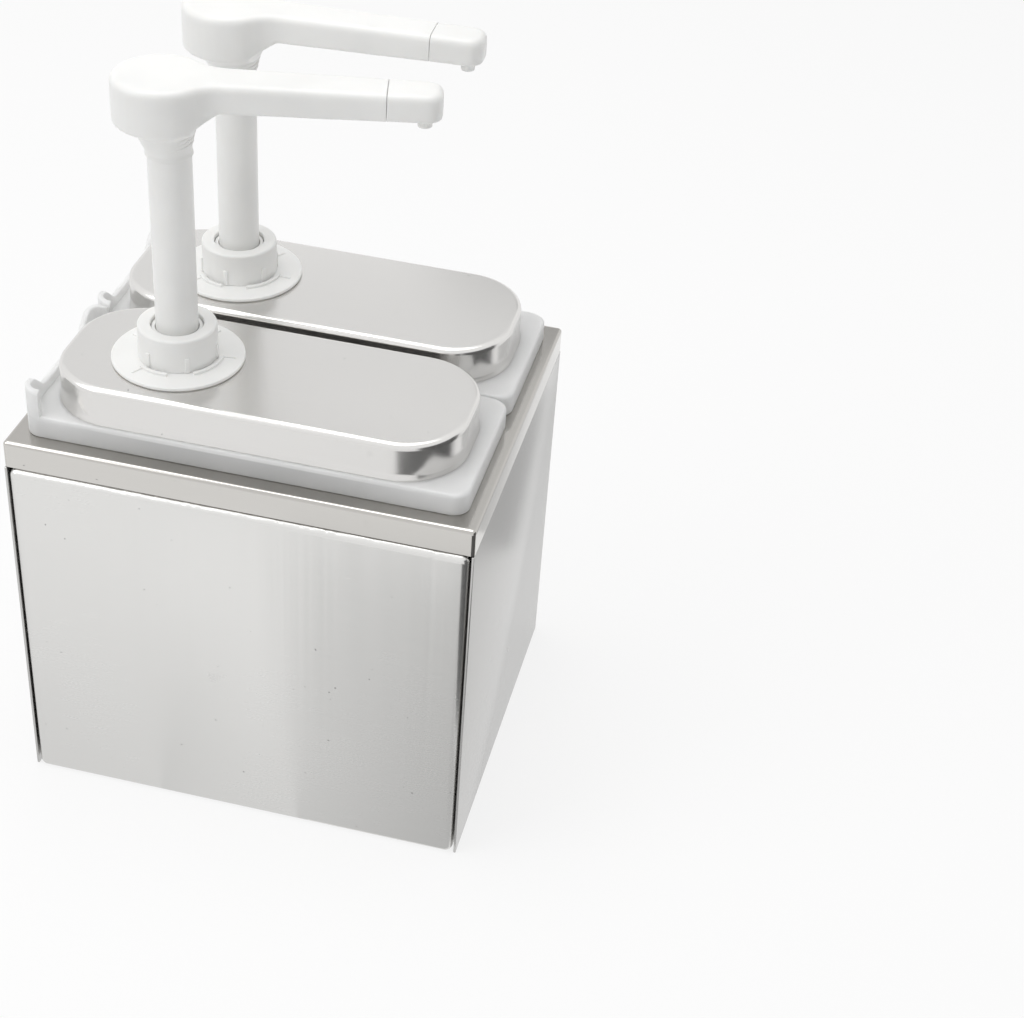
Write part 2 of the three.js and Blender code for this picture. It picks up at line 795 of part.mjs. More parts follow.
// Drum and spout as one body: round top edge, coned underside, and a slope up to the spout's underside
function headBody() {
  const shell = lofted([
    { outline: headOutline(0), z: drumFootZ },
    ...roundedTop(headOutline, 0, headEdge, headTopZ),
  ]);
  const cone = turnedGeometry(
    [[0, neckTopZ], [neckTopRadius, neckTopZ], [drumRadius, drumFootZ], [0, drumFootZ]],
    2 * pumpSides,
  );
  const coneShift = new THREE.Matrix4().makeShear(0, 0, 0, 0, -drumBack / drumCone, 0);
  cone.translate(0, 0, -neckTopZ).applyMatrix4(coneShift).translate(0, 0, neckTopZ);
  const farX = spoutReach + overrun;
  const under = new THREE.Shape([
    new THREE.Vector2(neckTopRadius, neckTopZ),
    new THREE.Vector2(farX, neckTopZ),
    new THREE.Vector2(farX, headTopZ - spoutTipHeight),
    new THREE.Vector2(slopeEnd, headTopZ - spoutHeight),
    new THREE.Vector2(neckTopRadius, neckTopZ + slopeRise),
  ]);
  const slope = new THREE.ExtrudeGeometry(under, { depth: 2 * drumRadius, bevelEnabled: false });
  slope.rotateX(Math.PI / 2).translate(0, drumRadius, 0);
  return cut(joined(shell, solid(cone)), solid(slope));
}

// The sleeve below the drum, with shallow rings on its outside
function neck() {
  const rings = [];
  for (let ring = 0; ring <= neckRings; ring += 1) {
    const share = ring / neckRings;
    const z = neckFootZ + share * neckHeight;
    const radius = neckFootRadius + share * (neckTopRadius - neckFootRadius);
    if (ring > 0) rings.push([radius, z]);
    if (ring < neckRings) {
      rings.push([radius, z], [radius + neckGroove, z + neckGroove]);
    }
  }
  return turned([[0, neckFootZ], ...rings, [0, neckTopZ]]);
}

function head() {
  const seat = solid(rodGeometry(stemSpigotRadius + clearance, neckFootZ - overrun, stemTopZ + clearance));
  const riser = solid(rodGeometry(passageRadius, stemTopZ, passageZ));
  const passage = crossRod(passageRadius, 0, spoutSeam + overrun, passageZ);
  const farX = spoutReach + overrun;
  const beyond = box([spoutSeam, -drumRadius, neckTopZ], [farX, drumRadius, headTopZ + overrun]);
  return cut(joined(headBody(), neck()), seat, riser, passage, beyond);
}

function nozzleTip() {
  const seamX = spoutSeam + clearance;
  const outletX = spoutReach - outletSetback;
  const spigotRound = passageRadius - clearance;
  const outletZ = headTopZ - spoutTipHeight - outletDrop;
  const reach = drumRadius + overrun;
  const before = box(
    [-reach - drumBack, -reach, neckTopZ - overrun],
    [seamX, reach, headTopZ + overrun],
  );
  const spigotEndX = seamX - tipSpigotLength;
  const spigot = crossRod(spigotRound, spigotEndX, seamX + overrun, passageZ);
  const outlet = solid(rodGeometry(outletRadius, outletZ, passageZ).translate(outletX, 0, 0));
  const channel = crossRod(spigotRound - tipSpigotWall, spigotEndX - overrun, outletX, passageZ);
  const drain = solid(rodGeometry(outletBore, outletZ - overrun, passageZ).translate(outletX, 0, 0));
  return cut(joined(cut(headBody(), before), spigot, outlet), channel, drain);
}

// One complete unit: a jar with its lid and pump, named for its place
function unit(place, y) {
  const turn = turns[place];
  const named = (name, body, finish) => piece(`${place}_${name}`, body, finish);
  const headGroup = new THREE.Group();
  headGroup.rotation.z = THREE.MathUtils.degToRad(turn.head);
  headGroup.add(named('head', head(), 'white'), named('nozzle_tip', nozzleTip(), 'white'));
  const pump = new THREE.Group();
  pump.position.x = pumpX;
  pump.add(
    named('mounting_plate', mountingPlate(turn.plate), 'white'),
    named('collar_nut', collarNut(turn.nut), 'white'),
    named('stem_guide', stemGuide(), 'white'),
    named('cylinder_gasket', cylinderGasket(), 'rubber'),
    named('cylinder', cylinder(), 'white'),
    named('foot_valve', footValve(), 'white'),
    named('inlet_ball', checkBall(barrelFootZ), 'wire'),
    named('dip_tube', dipTube(), 'white'),
    named('piston', piston(), 'white'),
    named('piston_seal', pistonSeal(), 'rubber'),
    named('outlet_ball', checkBall(stemFootZ), 'wire'),
    named('return_spring', returnSpring(), 'wire'),
    named('stem', stem(), 'white'),
    headGroup,
  );
  const whole = new THREE.Group();
  whole.position.y = y;
  whole.add(named('jar', jar(), 'jar'), named('lid', lid(), 'steel'), pump);
  return whole;
}

const dispenser = new THREE.Group();
dispenser.add(
  piece('front_panel', frontTray(), 'steel'),
  piece('rear_panel', rearTray(), 'steel'),
  piece('right_panel', rightPanel(), 'steel'),
  piece('left_panel', leftPanel(), 'steel'),
  piece('base_plate', basePlate(), 'steel'),
  piece('top_frame', topFrame(), 'steel'),
  unit('front', -jarPitch / 2),
  unit('rear', jarPitch / 2),
);
console.log(`least gap between the turns of a return spring: ${leastSpringGap().toFixed(2)} mm`);

export default dispenser;
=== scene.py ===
"""Looks for a sauce dispenser: steel housing, two milky jars, pressed lids and white pumps."""
import logging
import math
from dataclasses import dataclass
from enum import Enum
from typing import NamedTuple, Optional, Sequence, Union

import bmesh
import bpy
from bmesh.types import BMEdge, BMFace, BMVert
from mathutils import Matrix, Vector, noise


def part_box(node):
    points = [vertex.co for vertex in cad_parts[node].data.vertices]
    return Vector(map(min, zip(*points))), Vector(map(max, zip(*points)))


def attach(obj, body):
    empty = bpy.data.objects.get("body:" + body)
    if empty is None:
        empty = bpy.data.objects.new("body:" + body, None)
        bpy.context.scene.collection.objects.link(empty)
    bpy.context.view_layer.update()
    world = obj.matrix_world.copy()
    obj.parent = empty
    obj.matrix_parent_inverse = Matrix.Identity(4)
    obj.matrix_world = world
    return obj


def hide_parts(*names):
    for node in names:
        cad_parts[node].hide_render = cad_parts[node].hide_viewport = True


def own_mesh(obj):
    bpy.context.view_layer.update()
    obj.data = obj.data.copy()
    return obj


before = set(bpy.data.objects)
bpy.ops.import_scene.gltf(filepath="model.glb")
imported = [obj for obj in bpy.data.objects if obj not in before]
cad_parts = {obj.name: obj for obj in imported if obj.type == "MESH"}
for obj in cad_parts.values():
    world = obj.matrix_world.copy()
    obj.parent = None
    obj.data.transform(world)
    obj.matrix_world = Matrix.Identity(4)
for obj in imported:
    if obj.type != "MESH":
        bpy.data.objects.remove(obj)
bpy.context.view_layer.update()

log = logging.getLogger("dispenser")

MM = 0.001
FULL_TURN = 2 * math.pi
QUARTER = math.pi / 2
MERGE = 1e-4
WELD = 0.01
SUPPORT = 0.35
LEAST_RADIUS = 0.1
CORNER_STEPS = 14
ROUND_STEPS = 6
TURN_STEPS = 96
RING_STEPS = 64
SHARP_ANGLE = math.radians(32)
WHITE = (1.0, 1.0, 1.0, 1.0)
CLOUD_EDGE = (0.3, 0.7)

Colour = tuple[float, float, float]
Point = tuple[float, float, float]


# Node trees


class Value:
    """One output socket of a node. Arithmetic on it adds Math nodes to its tree."""

    def __init__(self, tree: "Tree", socket: bpy.types.NodeSocket) -> None:
        """Keeps the socket and the tree that it belongs to."""
        self.tree = tree
        self.socket = socket

    def _math(self, operation: str, first: "Number", second: "Number") -> "Value":
        """Adds one Math node on two values."""
        return self.tree.add("ShaderNodeMath", {"operation": operation}, {0: first, 1: second})

    def __add__(self, other: "Number") -> "Value":
        """The sum of two values."""
        return self._math("ADD", self, other)

    def __radd__(self, other: "Number") -> "Value":
        """The sum of a number and this value."""
        return self._math("ADD", other, self)

    def __sub__(self, other: "Number") -> "Value":
        """This value less another."""
        return self._math("SUBTRACT", self, other)

    def __rsub__(self, other: "Number") -> "Value":
        """A number less this value."""
        return self._math("SUBTRACT", other, self)

    def __mul__(self, other: "Number") -> "Value":
        """The product of two values."""
        return self._math("MULTIPLY", self, other)

    def __rmul__(self, other: "Number") -> "Value":
        """The product of a number and this value."""
        return self._math("MULTIPLY", other, self)

    def larger(self, other: "Number") -> "Value":
        """The larger of two values."""
        return self._math("MAXIMUM", self, other)

    def between(self, low: float, high: float) -> "Value":
        """0 below low and 1 above high, with a smooth rise from one to the other."""
        settings = {"interpolation_type": "SMOOTHSTEP"}
        return self.tree.add("ShaderNodeMapRange", settings, {0: self, 1: low, 2: high})


Number = Union[float, Value]
Input = Union[float, Value, Sequence[float]]


class Noise(NamedTuple):
    """The size of a noise, its layers and how strong its fine layers are."""

    scale: float
    detail: float = 2.0
    roughness: float = 0.5


class Tree:
    """A node tree that grows by one method, with short names for the nodes used most."""

    def __init__(self, nodes: bpy.types.NodeTree) -> None:
        """Takes a tree over and empties it."""
        self.nodes = nodes
        nodes.nodes.clear()

    def add(
        self,
        kind: str,
        settings: Optional[dict] = None,
        inputs: Optional[dict[Union[int, str], Input]] = None,
        out: Union[int, str] = 0,
    ) -> Value:
        """Adds one node.

        Args:
            kind: The node's type name.
            settings: Properties of the node, set before its sockets.
            inputs: Values or links of its sockets, by name or number.
            out: The output that is returned, by name or number.

        Returns:
            The chosen output.
        """
        node = self.nodes.nodes.new(kind)
        for name, value in (settings or {}).items():
            setattr(node, name, value)
        for key, value in (inputs or {}).items():
            if isinstance(value, Value):
                self.nodes.links.new(value.socket, node.inputs[key])
            else:
                node.inputs[key].default_value = value
        return Value(self, node.outputs[out])

    def place(self, stretch: Sequence[float] = (1.0, 1.0, 1.0)) -> Value:
        """Object coordinates in metres, multiplied axis by axis."""
        coordinates = self.add("ShaderNodeTexCoord", out="Object")
        return self.add("ShaderNodeVectorMath", {"operation": "MULTIPLY"}, {0: coordinates, 1: stretch})

    def along(self, axis: str) -> Value:
        """The object coordinate along one axis, in metres."""
        return self.add("ShaderNodeSeparateXYZ", None, {0: self.place()}, out=axis)

    def noise(self, look: Noise, stretch: Sequence[float] = (1.0, 1.0, 1.0)) -> Value:
        """Adds a smooth noise.

        Args:
            look: Its size and layers.
            stretch: How far it is squeezed along each axis.

        Returns:
            The noise, from 0 to 1.
        """
        place, (scale, detail, roughness) = self.place(stretch), look
        inputs = {"Vector": place, "Scale": scale, "Detail": detail, "Roughness": roughness}
        return self.add("ShaderNodeTexNoise", None, inputs)

    def mix(self, share: Number, first: Input, second: Input) -> Value:
        """A colour between two others."""
        inputs = {0: share, 6: self._opaque(first), 7: self._opaque(second)}
        return self.add("ShaderNodeMix", {"data_type": "RGBA"}, inputs, out=2)

    def scaled(self, colour: Input, factor: Number) -> Value:
        """A colour multiplied by a factor."""
        return self.add("ShaderNodeVectorMath", {"operation": "SCALE"}, {0: colour, "Scale": factor})

    def _opaque(self, colour: Input) -> Input:
        """A colour of three numbers with its alpha, or a link as it is."""
        return colour if isinstance(colour, Value) else (*colour, 1.0)

    def bump(self, height: Value, depth: float) -> Value:
        """A normal from a height that runs from 0 to 1 over a depth in metres."""
        inputs = {"Height": height, "Distance": depth, "Strength": 1.0}
        return self.add("ShaderNodeBump", None, inputs, out="Normal")

    def surface(self, inputs: dict[str, Input]) -> None:
        """Ends the tree with one Principled shader."""
        colour = self._opaque(inputs["Base Color"])
        self.end(self.add("ShaderNodeBsdfPrincipled", None, {**inputs, "Base Color": colour}))

    def end(self, shader: Value, kind: str = "ShaderNodeOutputMaterial") -> None:
        """Links a shader to the tree's output."""
        node = self.nodes.nodes.new(kind)
        self.nodes.links.new(shader.socket, node.inputs["Surface"])


def new_material(name: str) -> tuple[bpy.types.Material, Tree]:
    """Makes a new material.

    Args:
        name: Its name.

    Returns:
        The material and its empty tree.
    """
    made = bpy.data.materials.new(name)
    made.use_nodes = True
    return made, Tree(made.node_tree)


# Finishes


class Grain(Enum):
    """The axis that a sheet's brushing runs along."""

    ALONG_X = (1.0, 30.0, 30.0)
    ALONG_Y = (30.0, 1.0, 30.0)


@dataclass(frozen=True)
class Finish:
    """A named finish that makes its material once and hands out the same one afterwards."""

    name: str

    def fill(self, tree: Tree) -> None:
        """Builds the nodes; each finish has its own."""
        raise NotImplementedError

    def material(self) -> bpy.types.Material:
        """Looks the material up, or makes it the first time.

        Returns:
            The material of this finish.
        """
        made = bpy.data.materials.get(self.name)
        if made is None:
            made, tree = new_material(self.name)
            self.fill(tree)
        return made


@dataclass(frozen=True)
class BrushedSteel(Finish):
    """Satin stainless sheet: fine parallel lines, cloudy handling marks and a soft gloss.

    A shade is a share of the colour and a gloss a step of roughness. Above upper_z, in metres,
    the sheet has the tint called upper, if there is one; that darker top is painted reflection.
    """

    grain: Grain = Grain.ALONG_X
    tint: Colour = (0.745, 0.74, 0.725)
    roughness: float = 0.26
    lines: Noise = Noise(60.0)
    line_shade: float = 0.035
    line_gloss: float = 0.06
    line_depth: float = 0.0002 * MM
    clouds: Noise = Noise(9.0)
    cloud_shade: float = 0.05
    cloud_gloss: float = 0.06
    specks: Noise = Noise(330.0, 1.0)
    speck_edge: tuple[float, float] = (0.79, 0.82)
    speck_shade: float = 0.35
    smudges: Noise = Noise(42.0, 3.0, 0.7)
    smudge_edge: tuple[float, float] = (0.66, 0.78)
    smudge_shade: float = 0.04
    smudge_gloss: float = 0.02
    upper: Optional[Colour] = None
    upper_z: float = 0.0

    def fill(self, tree: Tree) -> None:
        """Lines and clouds feed the colour and the roughness; sparse specks and smudges dull it.

        Args:
            tree: The material's empty tree.
        """
        lines = tree.noise(self.lines, self.grain.value)
        clouds = tree.noise(self.clouds)
        specks = tree.noise(self.specks).between(*self.speck_edge)
        smudges = tree.noise(self.smudges).between(*self.smudge_edge)
        colour: Input = self.tint
        # Painted reflection: above upper_z the colour turns to the darker tint upper.
        if self.upper is not None:
            above = tree.along("Z").between(self.upper_z - 1.0 * MM, self.upper_z)
            colour = tree.mix(above, self.tint, self.upper)
        shade = (lines - 0.5) * self.line_shade + (clouds - 0.5) * self.cloud_shade + 1.0
        shade = shade - specks * self.speck_shade - smudges * self.smudge_shade
        colour = tree.scaled(colour, shade)
        gloss = (lines - 0.5) * self.line_gloss + (clouds - 0.5) * self.cloud_gloss
        tree.surface({
            "Base Color": colour,
            "Metallic": 1.0,
            "Roughness": gloss + smudges * self.smudge_gloss + self.roughness,
            "Normal": tree.bump(lines, self.line_depth),
        })


@dataclass(frozen=True)
class MouldedPlastic(Finish):
    """White moulded plastic with a soft gloss and the faint unevenness of its mould."""

    tint: Colour = (0.90, 0.90, 0.885)
    shade: Colour = (0.86, 0.86, 0.845)
    roughness: float = 0.34
    clouds: Noise = Noise(30.0)
    texture: Noise = Noise(900.0, 2.0, 0.6)
    texture_gloss: float = 0.1
    texture_depth: float = 0.02 * MM
    glow: float = 0.12
    glow_reach: float = 2.0 * MM

    def fill(self, tree: Tree) -> None:
        """Slow clouds shift the colour, a fine texture the roughness and the bump.

        Args:
            tree: The material's empty tree.
        """
        clouds = tree.noise(self.clouds)
        texture = tree.noise(self.texture)
        tree.surface({
            "Base Color": tree.mix(clouds.between(*CLOUD_EDGE), self.shade, self.tint),
            "Roughness": (texture - 0.5) * self.texture_gloss + self.roughness,
            "Subsurface Weight": self.glow,
            "Subsurface Radius": (1.0, 0.9, 0.8),
            "Subsurface Scale": self.glow_reach,
            "Normal": tree.bump(texture, self.texture_depth),
        })


@dataclass(frozen=True)
class MilkyPlastic(Finish):
    """Translucent polypropylene: cloudy white with a cool cast and a dull gloss.

    Below painted_shade_z and within painted_shade_length of the middle, in millimetres, the colour keeps
    painted_shade_share of itself: painted shade on the middle of the skirt.
    """

    tint: Colour = (0.86, 0.86, 0.855)
    shade: Colour = (0.81, 0.815, 0.81)
    roughness: float = 0.36
    clouds: Noise = Noise(22.0, 3.0, 0.55)
    flow: Noise = Noise(45.0)
    flow_stretch: Sequence[float] = (1.0, 1.0, 5.0)
    flow_gloss: float = 0.12
    flow_depth: float = 0.05 * MM
    painted_shade_share: float = 0.74
    painted_shade_length: float = 95.0
    painted_shade_z: float = 217.0
    glow: float = 0.8
    glow_reach: float = 6.0 * MM
    clearness: float = 0.08

    def fill(self, tree: Tree) -> None:
        """Clouds shift the colour, flow marks the roughness, and painted shade darkens the skirt in its
        middle.

        Args:
            tree: The material's empty tree.
        """
        clouds = tree.noise(self.clouds)
        flow = tree.noise(self.flow, self.flow_stretch)
        along, height = tree.along("X"), tree.along("Z")
        # Painted shade: below painted_shade_z the colour is darkened towards the middle.
        reach = self.painted_shade_length * MM
        middle = 1.0 - (along * along).between(0.0, reach * reach)
        below = 1.0 - height.between((self.painted_shade_z - 1.0) * MM, self.painted_shade_z * MM)
        light = 1.0 - middle * below * (1.0 - self.painted_shade_share)
        colour = tree.mix(clouds.between(*CLOUD_EDGE), self.shade, self.tint)
        tree.surface({
            "Base Color": tree.scaled(colour, light),
            "Roughness": (flow - 0.5) * self.flow_gloss + self.roughness,
            "Subsurface Weight": self.glow,
            "Subsurface Radius": (1.0, 1.0, 1.0),
            "Subsurface Scale": self.glow_reach,
            "Transmission Weight": self.clearness,
            "Normal": tree.bump(flow, self.flow_depth),
        })


@dataclass(frozen=True)
class Mottled(Finish):
    """An even finish that one fine mottling takes from its first look to its second."""

    tints: tuple[Colour, Colour]
    mottle: Noise
    gloss: tuple[float, float]
    depth: float
    metallic: float = 0.0

    def fill(self, tree: Tree) -> None:
        """The mottling feeds the colour, the roughness and the bump.

        Args:
            tree: The material's empty tree.
        """
        mottle = tree.noise(self.mottle)
        tree.surface({
            "Base Color": tree.mix(mottle, *self.tints),
            "Metallic": self.metallic,
            "Roughness": mottle * self.gloss[1] + self.gloss[0],
            "Normal": tree.bump(mottle, self.depth),
        })


FINISHES = {
    "jar_plastic": MilkyPlastic("milky_plastic"),
    "pump_plastic": MouldedPlastic("white_plastic"),
    "lid_steel": BrushedSteel("steel_brushed_lid", tint=(0.74, 0.73, 0.715), roughness=0.21),
    "seal_rubber": Mottled(
        "seal_rubber", ((0.025, 0.025, 0.025), (0.06, 0.06, 0.06)),
        mottle=Noise(260.0, 3.0, 0.6), gloss=(0.5, 0.2), depth=0.03 * MM,
    ),
    "valve_steel": Mottled(
        "bright_wire", ((0.58, 0.59, 0.60), (0.72, 0.73, 0.74)),
        mottle=Noise(400.0), gloss=(0.15, 0.15), depth=0.004 * MM, metallic=1.0,
    ),
}


# Mesh shaping, in millimetres


@dataclass(frozen=True)
class Outline:
    """A rectangle with round corners."""

    length: float
    width: float
    radius: float

    def inset(self, by: float) -> "Outline":
        """The same outline drawn in by a distance."""
        return Outline(self.length - 2 * by, self.width - 2 * by, max(self.radius - by, LEAST_RADIUS))

    def towards(self, other: "Outline", share: float) -> "Outline":
        """Finds an outline between this one and another.

        Args:
            other: The other outline.
            share: The share of the way to it.

        Returns:
            The outline.
        """
        return Outline(
            self.length + share * (other.length - self.length),
            self.width + share * (other.width - self.width),
            self.radius + share * (other.radius - self.radius),
        )


class Station(NamedTuple):
    """One outline of a loft, with its height and the rounding of its edge."""

    outline: Outline
    z: float
    soft: float = 0.0

    def distance(self, other: "Station") -> float:
        """Finds how far the skin runs to another station.

        Args:
            other: The other station.

        Returns:
            The distance along X or along Y, the shorter one that isn't zero.
        """
        rise = self.z - other.z
        step = Vector(((self.outline.length - other.outline.length) / 2, rise)).length
        side = Vector(((self.outline.width - other.outline.width) / 2, rise)).length
        return min(step, side) or max(step, side)

    def towards(self, other: "Station", share: float) -> "Station":
        """A plain station a share of the way to another."""
        return Station(self.outline.towards(other.outline, share), self.z + share * (other.z - self.z))


class Corner(NamedTuple):
    """One corner of a turned profile, with the rounding of its edge."""

    radius: float
    z: float
    soft: float = 0.0

    def distance(self, other: "Corner") -> float:
        """The distance to another corner."""
        return (Vector(other[:2]) - Vector(self[:2])).length

    def towards(self, other: "Corner", share: float) -> "Corner":
        """A plain corner a share of the way to another."""
        return Corner(*Vector(self[:2]).lerp(Vector(other[:2]), share))


class Combine(Enum):
    """How two solids become one."""

    UNION = "UNION"
    DIFFERENCE = "DIFFERENCE"


def clamped(value: float) -> float:
    """A value held between 0 and 1."""
    return min(max(value, 0.0), 1.0)


Step = Union[Station, Corner]


def beside(step: Step, other: Step) -> list[Step]:
    """The step just past a rounding on the way to another.

    Args:
        step: The rounded one.
        other: Its neighbour.

    Returns:
        One step, or none where the rounding is zero or there is no room.
    """
    reach, distance = step.soft + SUPPORT, step.distance(other)
    if step.soft and distance > reach + other.soft + SUPPORT:
        return [step.towards(other, reach / distance)]
    return []


def supported(steps: Sequence[Step], closed: bool) -> list[Step]:
    """Adds a step beside every rounded one, so that the flats next to it stay flat.

    Args:
        steps: The stations of a loft or the corners of a profile, in order.
        closed: Whether the last one leads back to the first.

    Returns:
        The same steps with the added ones between them.
    """
    result: list[Step] = []
    count = len(steps)
    for index, step in enumerate(steps):
        if closed or index > 0:
            result += beside(step, steps[index - 1])
        result.append(step)
        if closed or index + 1 < count:
            result += beside(step, steps[(index + 1) % count])
    return result


class Held:
    """What a mesh held at one moment."""

    def __init__(self, mesh: bmesh.types.BMesh) -> None:
        """Remembers every element."""
        self.mesh = mesh
        self.kept = [set(elements) for elements in (mesh.verts, mesh.edges, mesh.faces)]

    def fresh(self) -> tuple[list[BMVert], list[BMEdge], list[BMFace]]:
        """The vertices, edges and faces that were added since."""
        pairs = zip((self.mesh.verts, self.mesh.edges, self.mesh.faces), self.kept)
        return tuple([element for element in elements if element not in kept] for elements, kept in pairs)


def edges_along(mesh: bmesh.types.BMesh, axis: int, least: float) -> list[BMEdge]:
    """The edges that span more than a length along an axis, 0 for X and 1 for Y."""
    return [edge for edge in mesh.edges if abs(edge.verts[0].co[axis] - edge.verts[1].co[axis]) > least]


def mesh_data(mesh: bmesh.types.BMesh, name: str) -> bpy.types.Mesh:
    """Makes a mesh from a bmesh.

    Args:
        mesh: The bmesh.
        name: The name of the new mesh.

    Returns:
        The mesh.
    """
    data = bpy.data.meshes.new(name)
    mesh.to_mesh(data)
    return data


def add_object(name: str, data: bpy.types.ID) -> bpy.types.Object:
    """Adds an object to the scene.

    Args:
        name: Its name.
        data: Its mesh, lamp or camera.

    Returns:
        The object.
    """
    made = bpy.data.objects.new(name, data)
    bpy.context.scene.collection.objects.link(made)
    return made


class Shaper:
    """A bmesh in millimetres that operators shape into one piece of the model."""

    def __init__(self) -> None:
        """Starts with an empty mesh."""
        self.mesh = bmesh.new()

    def bevel(
        self,
        elements: Sequence[Union[BMVert, BMEdge]],
        radius: float,
        steps: int = ROUND_STEPS,
        affect: str = "EDGES",
        clamp: bool = False,
        slide: bool = False,
    ) -> None:
        """Rounds vertices or edges.

        Args:
            elements: What is rounded.
            radius: The radius of the rounding.
            steps: How many segments it has.
            affect: VERTICES or EDGES.
            clamp: Whether roundings stop where they meet.
            slide: Whether the ends slide along the edges next to them.
        """
        bmesh.ops.bevel(
            self.mesh, geom=list(elements), offset=radius, offset_type="OFFSET", segments=steps,
            profile=0.5, affect=affect, material=-1, clamp_overlap=clamp, loop_slide=slide,
        )

    def round(self, edges: Sequence[BMEdge], radius: float, steps: int = ROUND_STEPS) -> None:
        """Rounds edges and lets the ends of the roundings slide."""
        self.bevel(edges, radius, steps, slide=True)

    def ring(self, outline: Outline, z: float) -> list[BMEdge]:
        """Adds the edges of an outline at a height.

        Args:
            outline: The rounded rectangle.
            z: Its height.

        Returns:
            The edges of the closed ring.
        """
        before = Held(self.mesh)
        verts = bmesh.ops.create_grid(self.mesh, x_segments=1, y_segments=1, size=0.5)["verts"]
        bmesh.ops.scale(self.mesh, vec=(outline.length, outline.width, 1), verts=verts)
        self.bevel(verts, outline.radius, CORNER_STEPS, "VERTICES")
        bmesh.ops.delete(self.mesh, geom=before.fresh()[2], context="FACES_ONLY")
        verts, edges, _ = before.fresh()
        bmesh.ops.translate(self.mesh, vec=(0, 0, z), verts=verts)
        return edges

    def loft(
        self,
        stations: Sequence[Station],
        foot: bool = True,
        top: bool = True,
        closed: bool = False,
    ) -> list[list[BMEdge]]:
        """Adds a skin through stacked outlines.

        Args:
            stations: The outlines with their heights and roundings, in order along the skin.
            foot: Whether the first outline gets a face.
            top: Whether the last outline gets a face.
            closed: Whether the skin returns to its first outline.

        Returns:
            The ring of edges of each station, supports included.
        """
        layers = supported(stations, closed=False)
        rings = [self.ring(layer.outline, layer.z) for layer in layers]
        pairs = list(zip(rings, rings[1:])) + ([(rings[-1], rings[0])] if closed else [])
        for lower, upper in pairs:
            bmesh.ops.bridge_loops(self.mesh, edges=lower + upper)
        for wanted, ring in ((foot, rings[0]), (top, rings[-1])):
            if wanted and not closed:
                bmesh.ops.contextual_create(self.mesh, geom=ring)
        self.face_outwards()
        for layer, ring in zip(layers, rings):
            if layer.soft:
                self.round(ring, layer.soft)
        return rings

    def turn(
        self,
        corners: Sequence[Union[Corner, tuple]],
        steps: int = TURN_STEPS,
        angle: float = FULL_TURN,
    ) -> "Shaper":
        """Adds a solid of revolution about Z from a closed profile.

        Args:
            corners: The profile's corners: radius, height and rounding.
            steps: How many steps the turn takes.
            angle: How far the profile turns.

        Returns:
            This shaper.
        """
        before = Held(self.mesh)
        layers = supported([Corner(*corner) for corner in corners], closed=True)
        verts = [self.mesh.verts.new((corner.radius, 0, corner.z)) for corner in layers]
        self.mesh.faces.new(verts)
        for corner, vert in zip(layers, verts):
            if corner.soft:
                self.bevel([vert], corner.soft, affect="VERTICES")
        verts, edges, faces = before.fresh()
        full = angle >= FULL_TURN
        if full:
            bmesh.ops.delete(self.mesh, geom=faces, context="FACES_ONLY")
            for edge in [edge for edge in edges if all(vert.co.x < MERGE for vert in edge.verts)]:
                self.mesh.edges.remove(edge)
            verts, edges, faces = before.fresh()
        bmesh.ops.spin(
            self.mesh, geom=verts + edges + faces, cent=(0, 0, 0), axis=(0, 0, 1), dvec=(0, 0, 0),
            angle=angle, steps=steps, use_merge=full,
        )
        bmesh.ops.remove_doubles(self.mesh, verts=before.fresh()[0], dist=MERGE)
        bmesh.ops.recalc_face_normals(self.mesh, faces=before.fresh()[2])
        return self

    def block(self, low: Sequence[float], high: Sequence[float], soft: float) -> "Shaper":
        """Adds a box with rounded edges.

        Args:
            low: Its lowest corner.
            high: Its highest corner.
            soft: The rounding of its edges.

        Returns:
            This shaper.
        """
        before = Held(self.mesh)
        verts = bmesh.ops.create_cube(self.mesh, size=1.0)["verts"]
        bmesh.ops.scale(self.mesh, vec=[far - near for near, far in zip(low, high)], verts=verts)
        bmesh.ops.translate(self.mesh, vec=[(far + near) / 2 for near, far in zip(low, high)], verts=verts)
        self.round(before.fresh()[1], soft, 3)
        return self

    def fill_between(self, edges: Sequence[BMEdge]) -> None:
        """Fills the flat region between rings of edges.

        Args:
            edges: All edges of the rings.
        """
        bmesh.ops.triangle_fill(
            self.mesh, use_beauty=True, use_dissolve=False, edges=list(edges), normal=(0, 0, 1),
        )

    def face_outwards(self) -> "Shaper":
        """Turns every face outwards."""
        bmesh.ops.recalc_face_normals(self.mesh, faces=self.mesh.faces[:])
        return self

    def wall(self, thickness: float) -> None:
        """Gives the open skin a wall on its inner side."""
        self.face_outwards()
        bmesh.ops.solidify(self.mesh, geom=self.mesh.faces[:], thickness=thickness)

    def move(self, x: float = 0.0, y: float = 0.0, z: float = 0.0) -> "Shaper":
        """Moves the whole mesh."""
        bmesh.ops.translate(self.mesh, vec=(x, y, z), verts=self.mesh.verts)
        return self

    def rotate(self, angle: float, axis: str = "Z") -> "Shaper":
        """Turns the whole mesh about an axis through the origin.

        Args:
            angle: How far it turns, in radians.
            axis: X, Y or Z.

        Returns:
            This shaper.
        """
        turned = Matrix.Rotation(angle, 3, axis)
        bmesh.ops.rotate(self.mesh, cent=(0, 0, 0), matrix=turned, verts=self.mesh.verts)
        return self

    def smooth(self, times: int) -> None:
        """Softens the whole surface.

        Args:
            times: How often the operator runs.
        """
        axes = {f"use_axis_{axis}": True for axis in "xyz"}
        for _ in range(times):
            bmesh.ops.smooth_vert(self.mesh, verts=self.mesh.verts, factor=0.5, **axes)

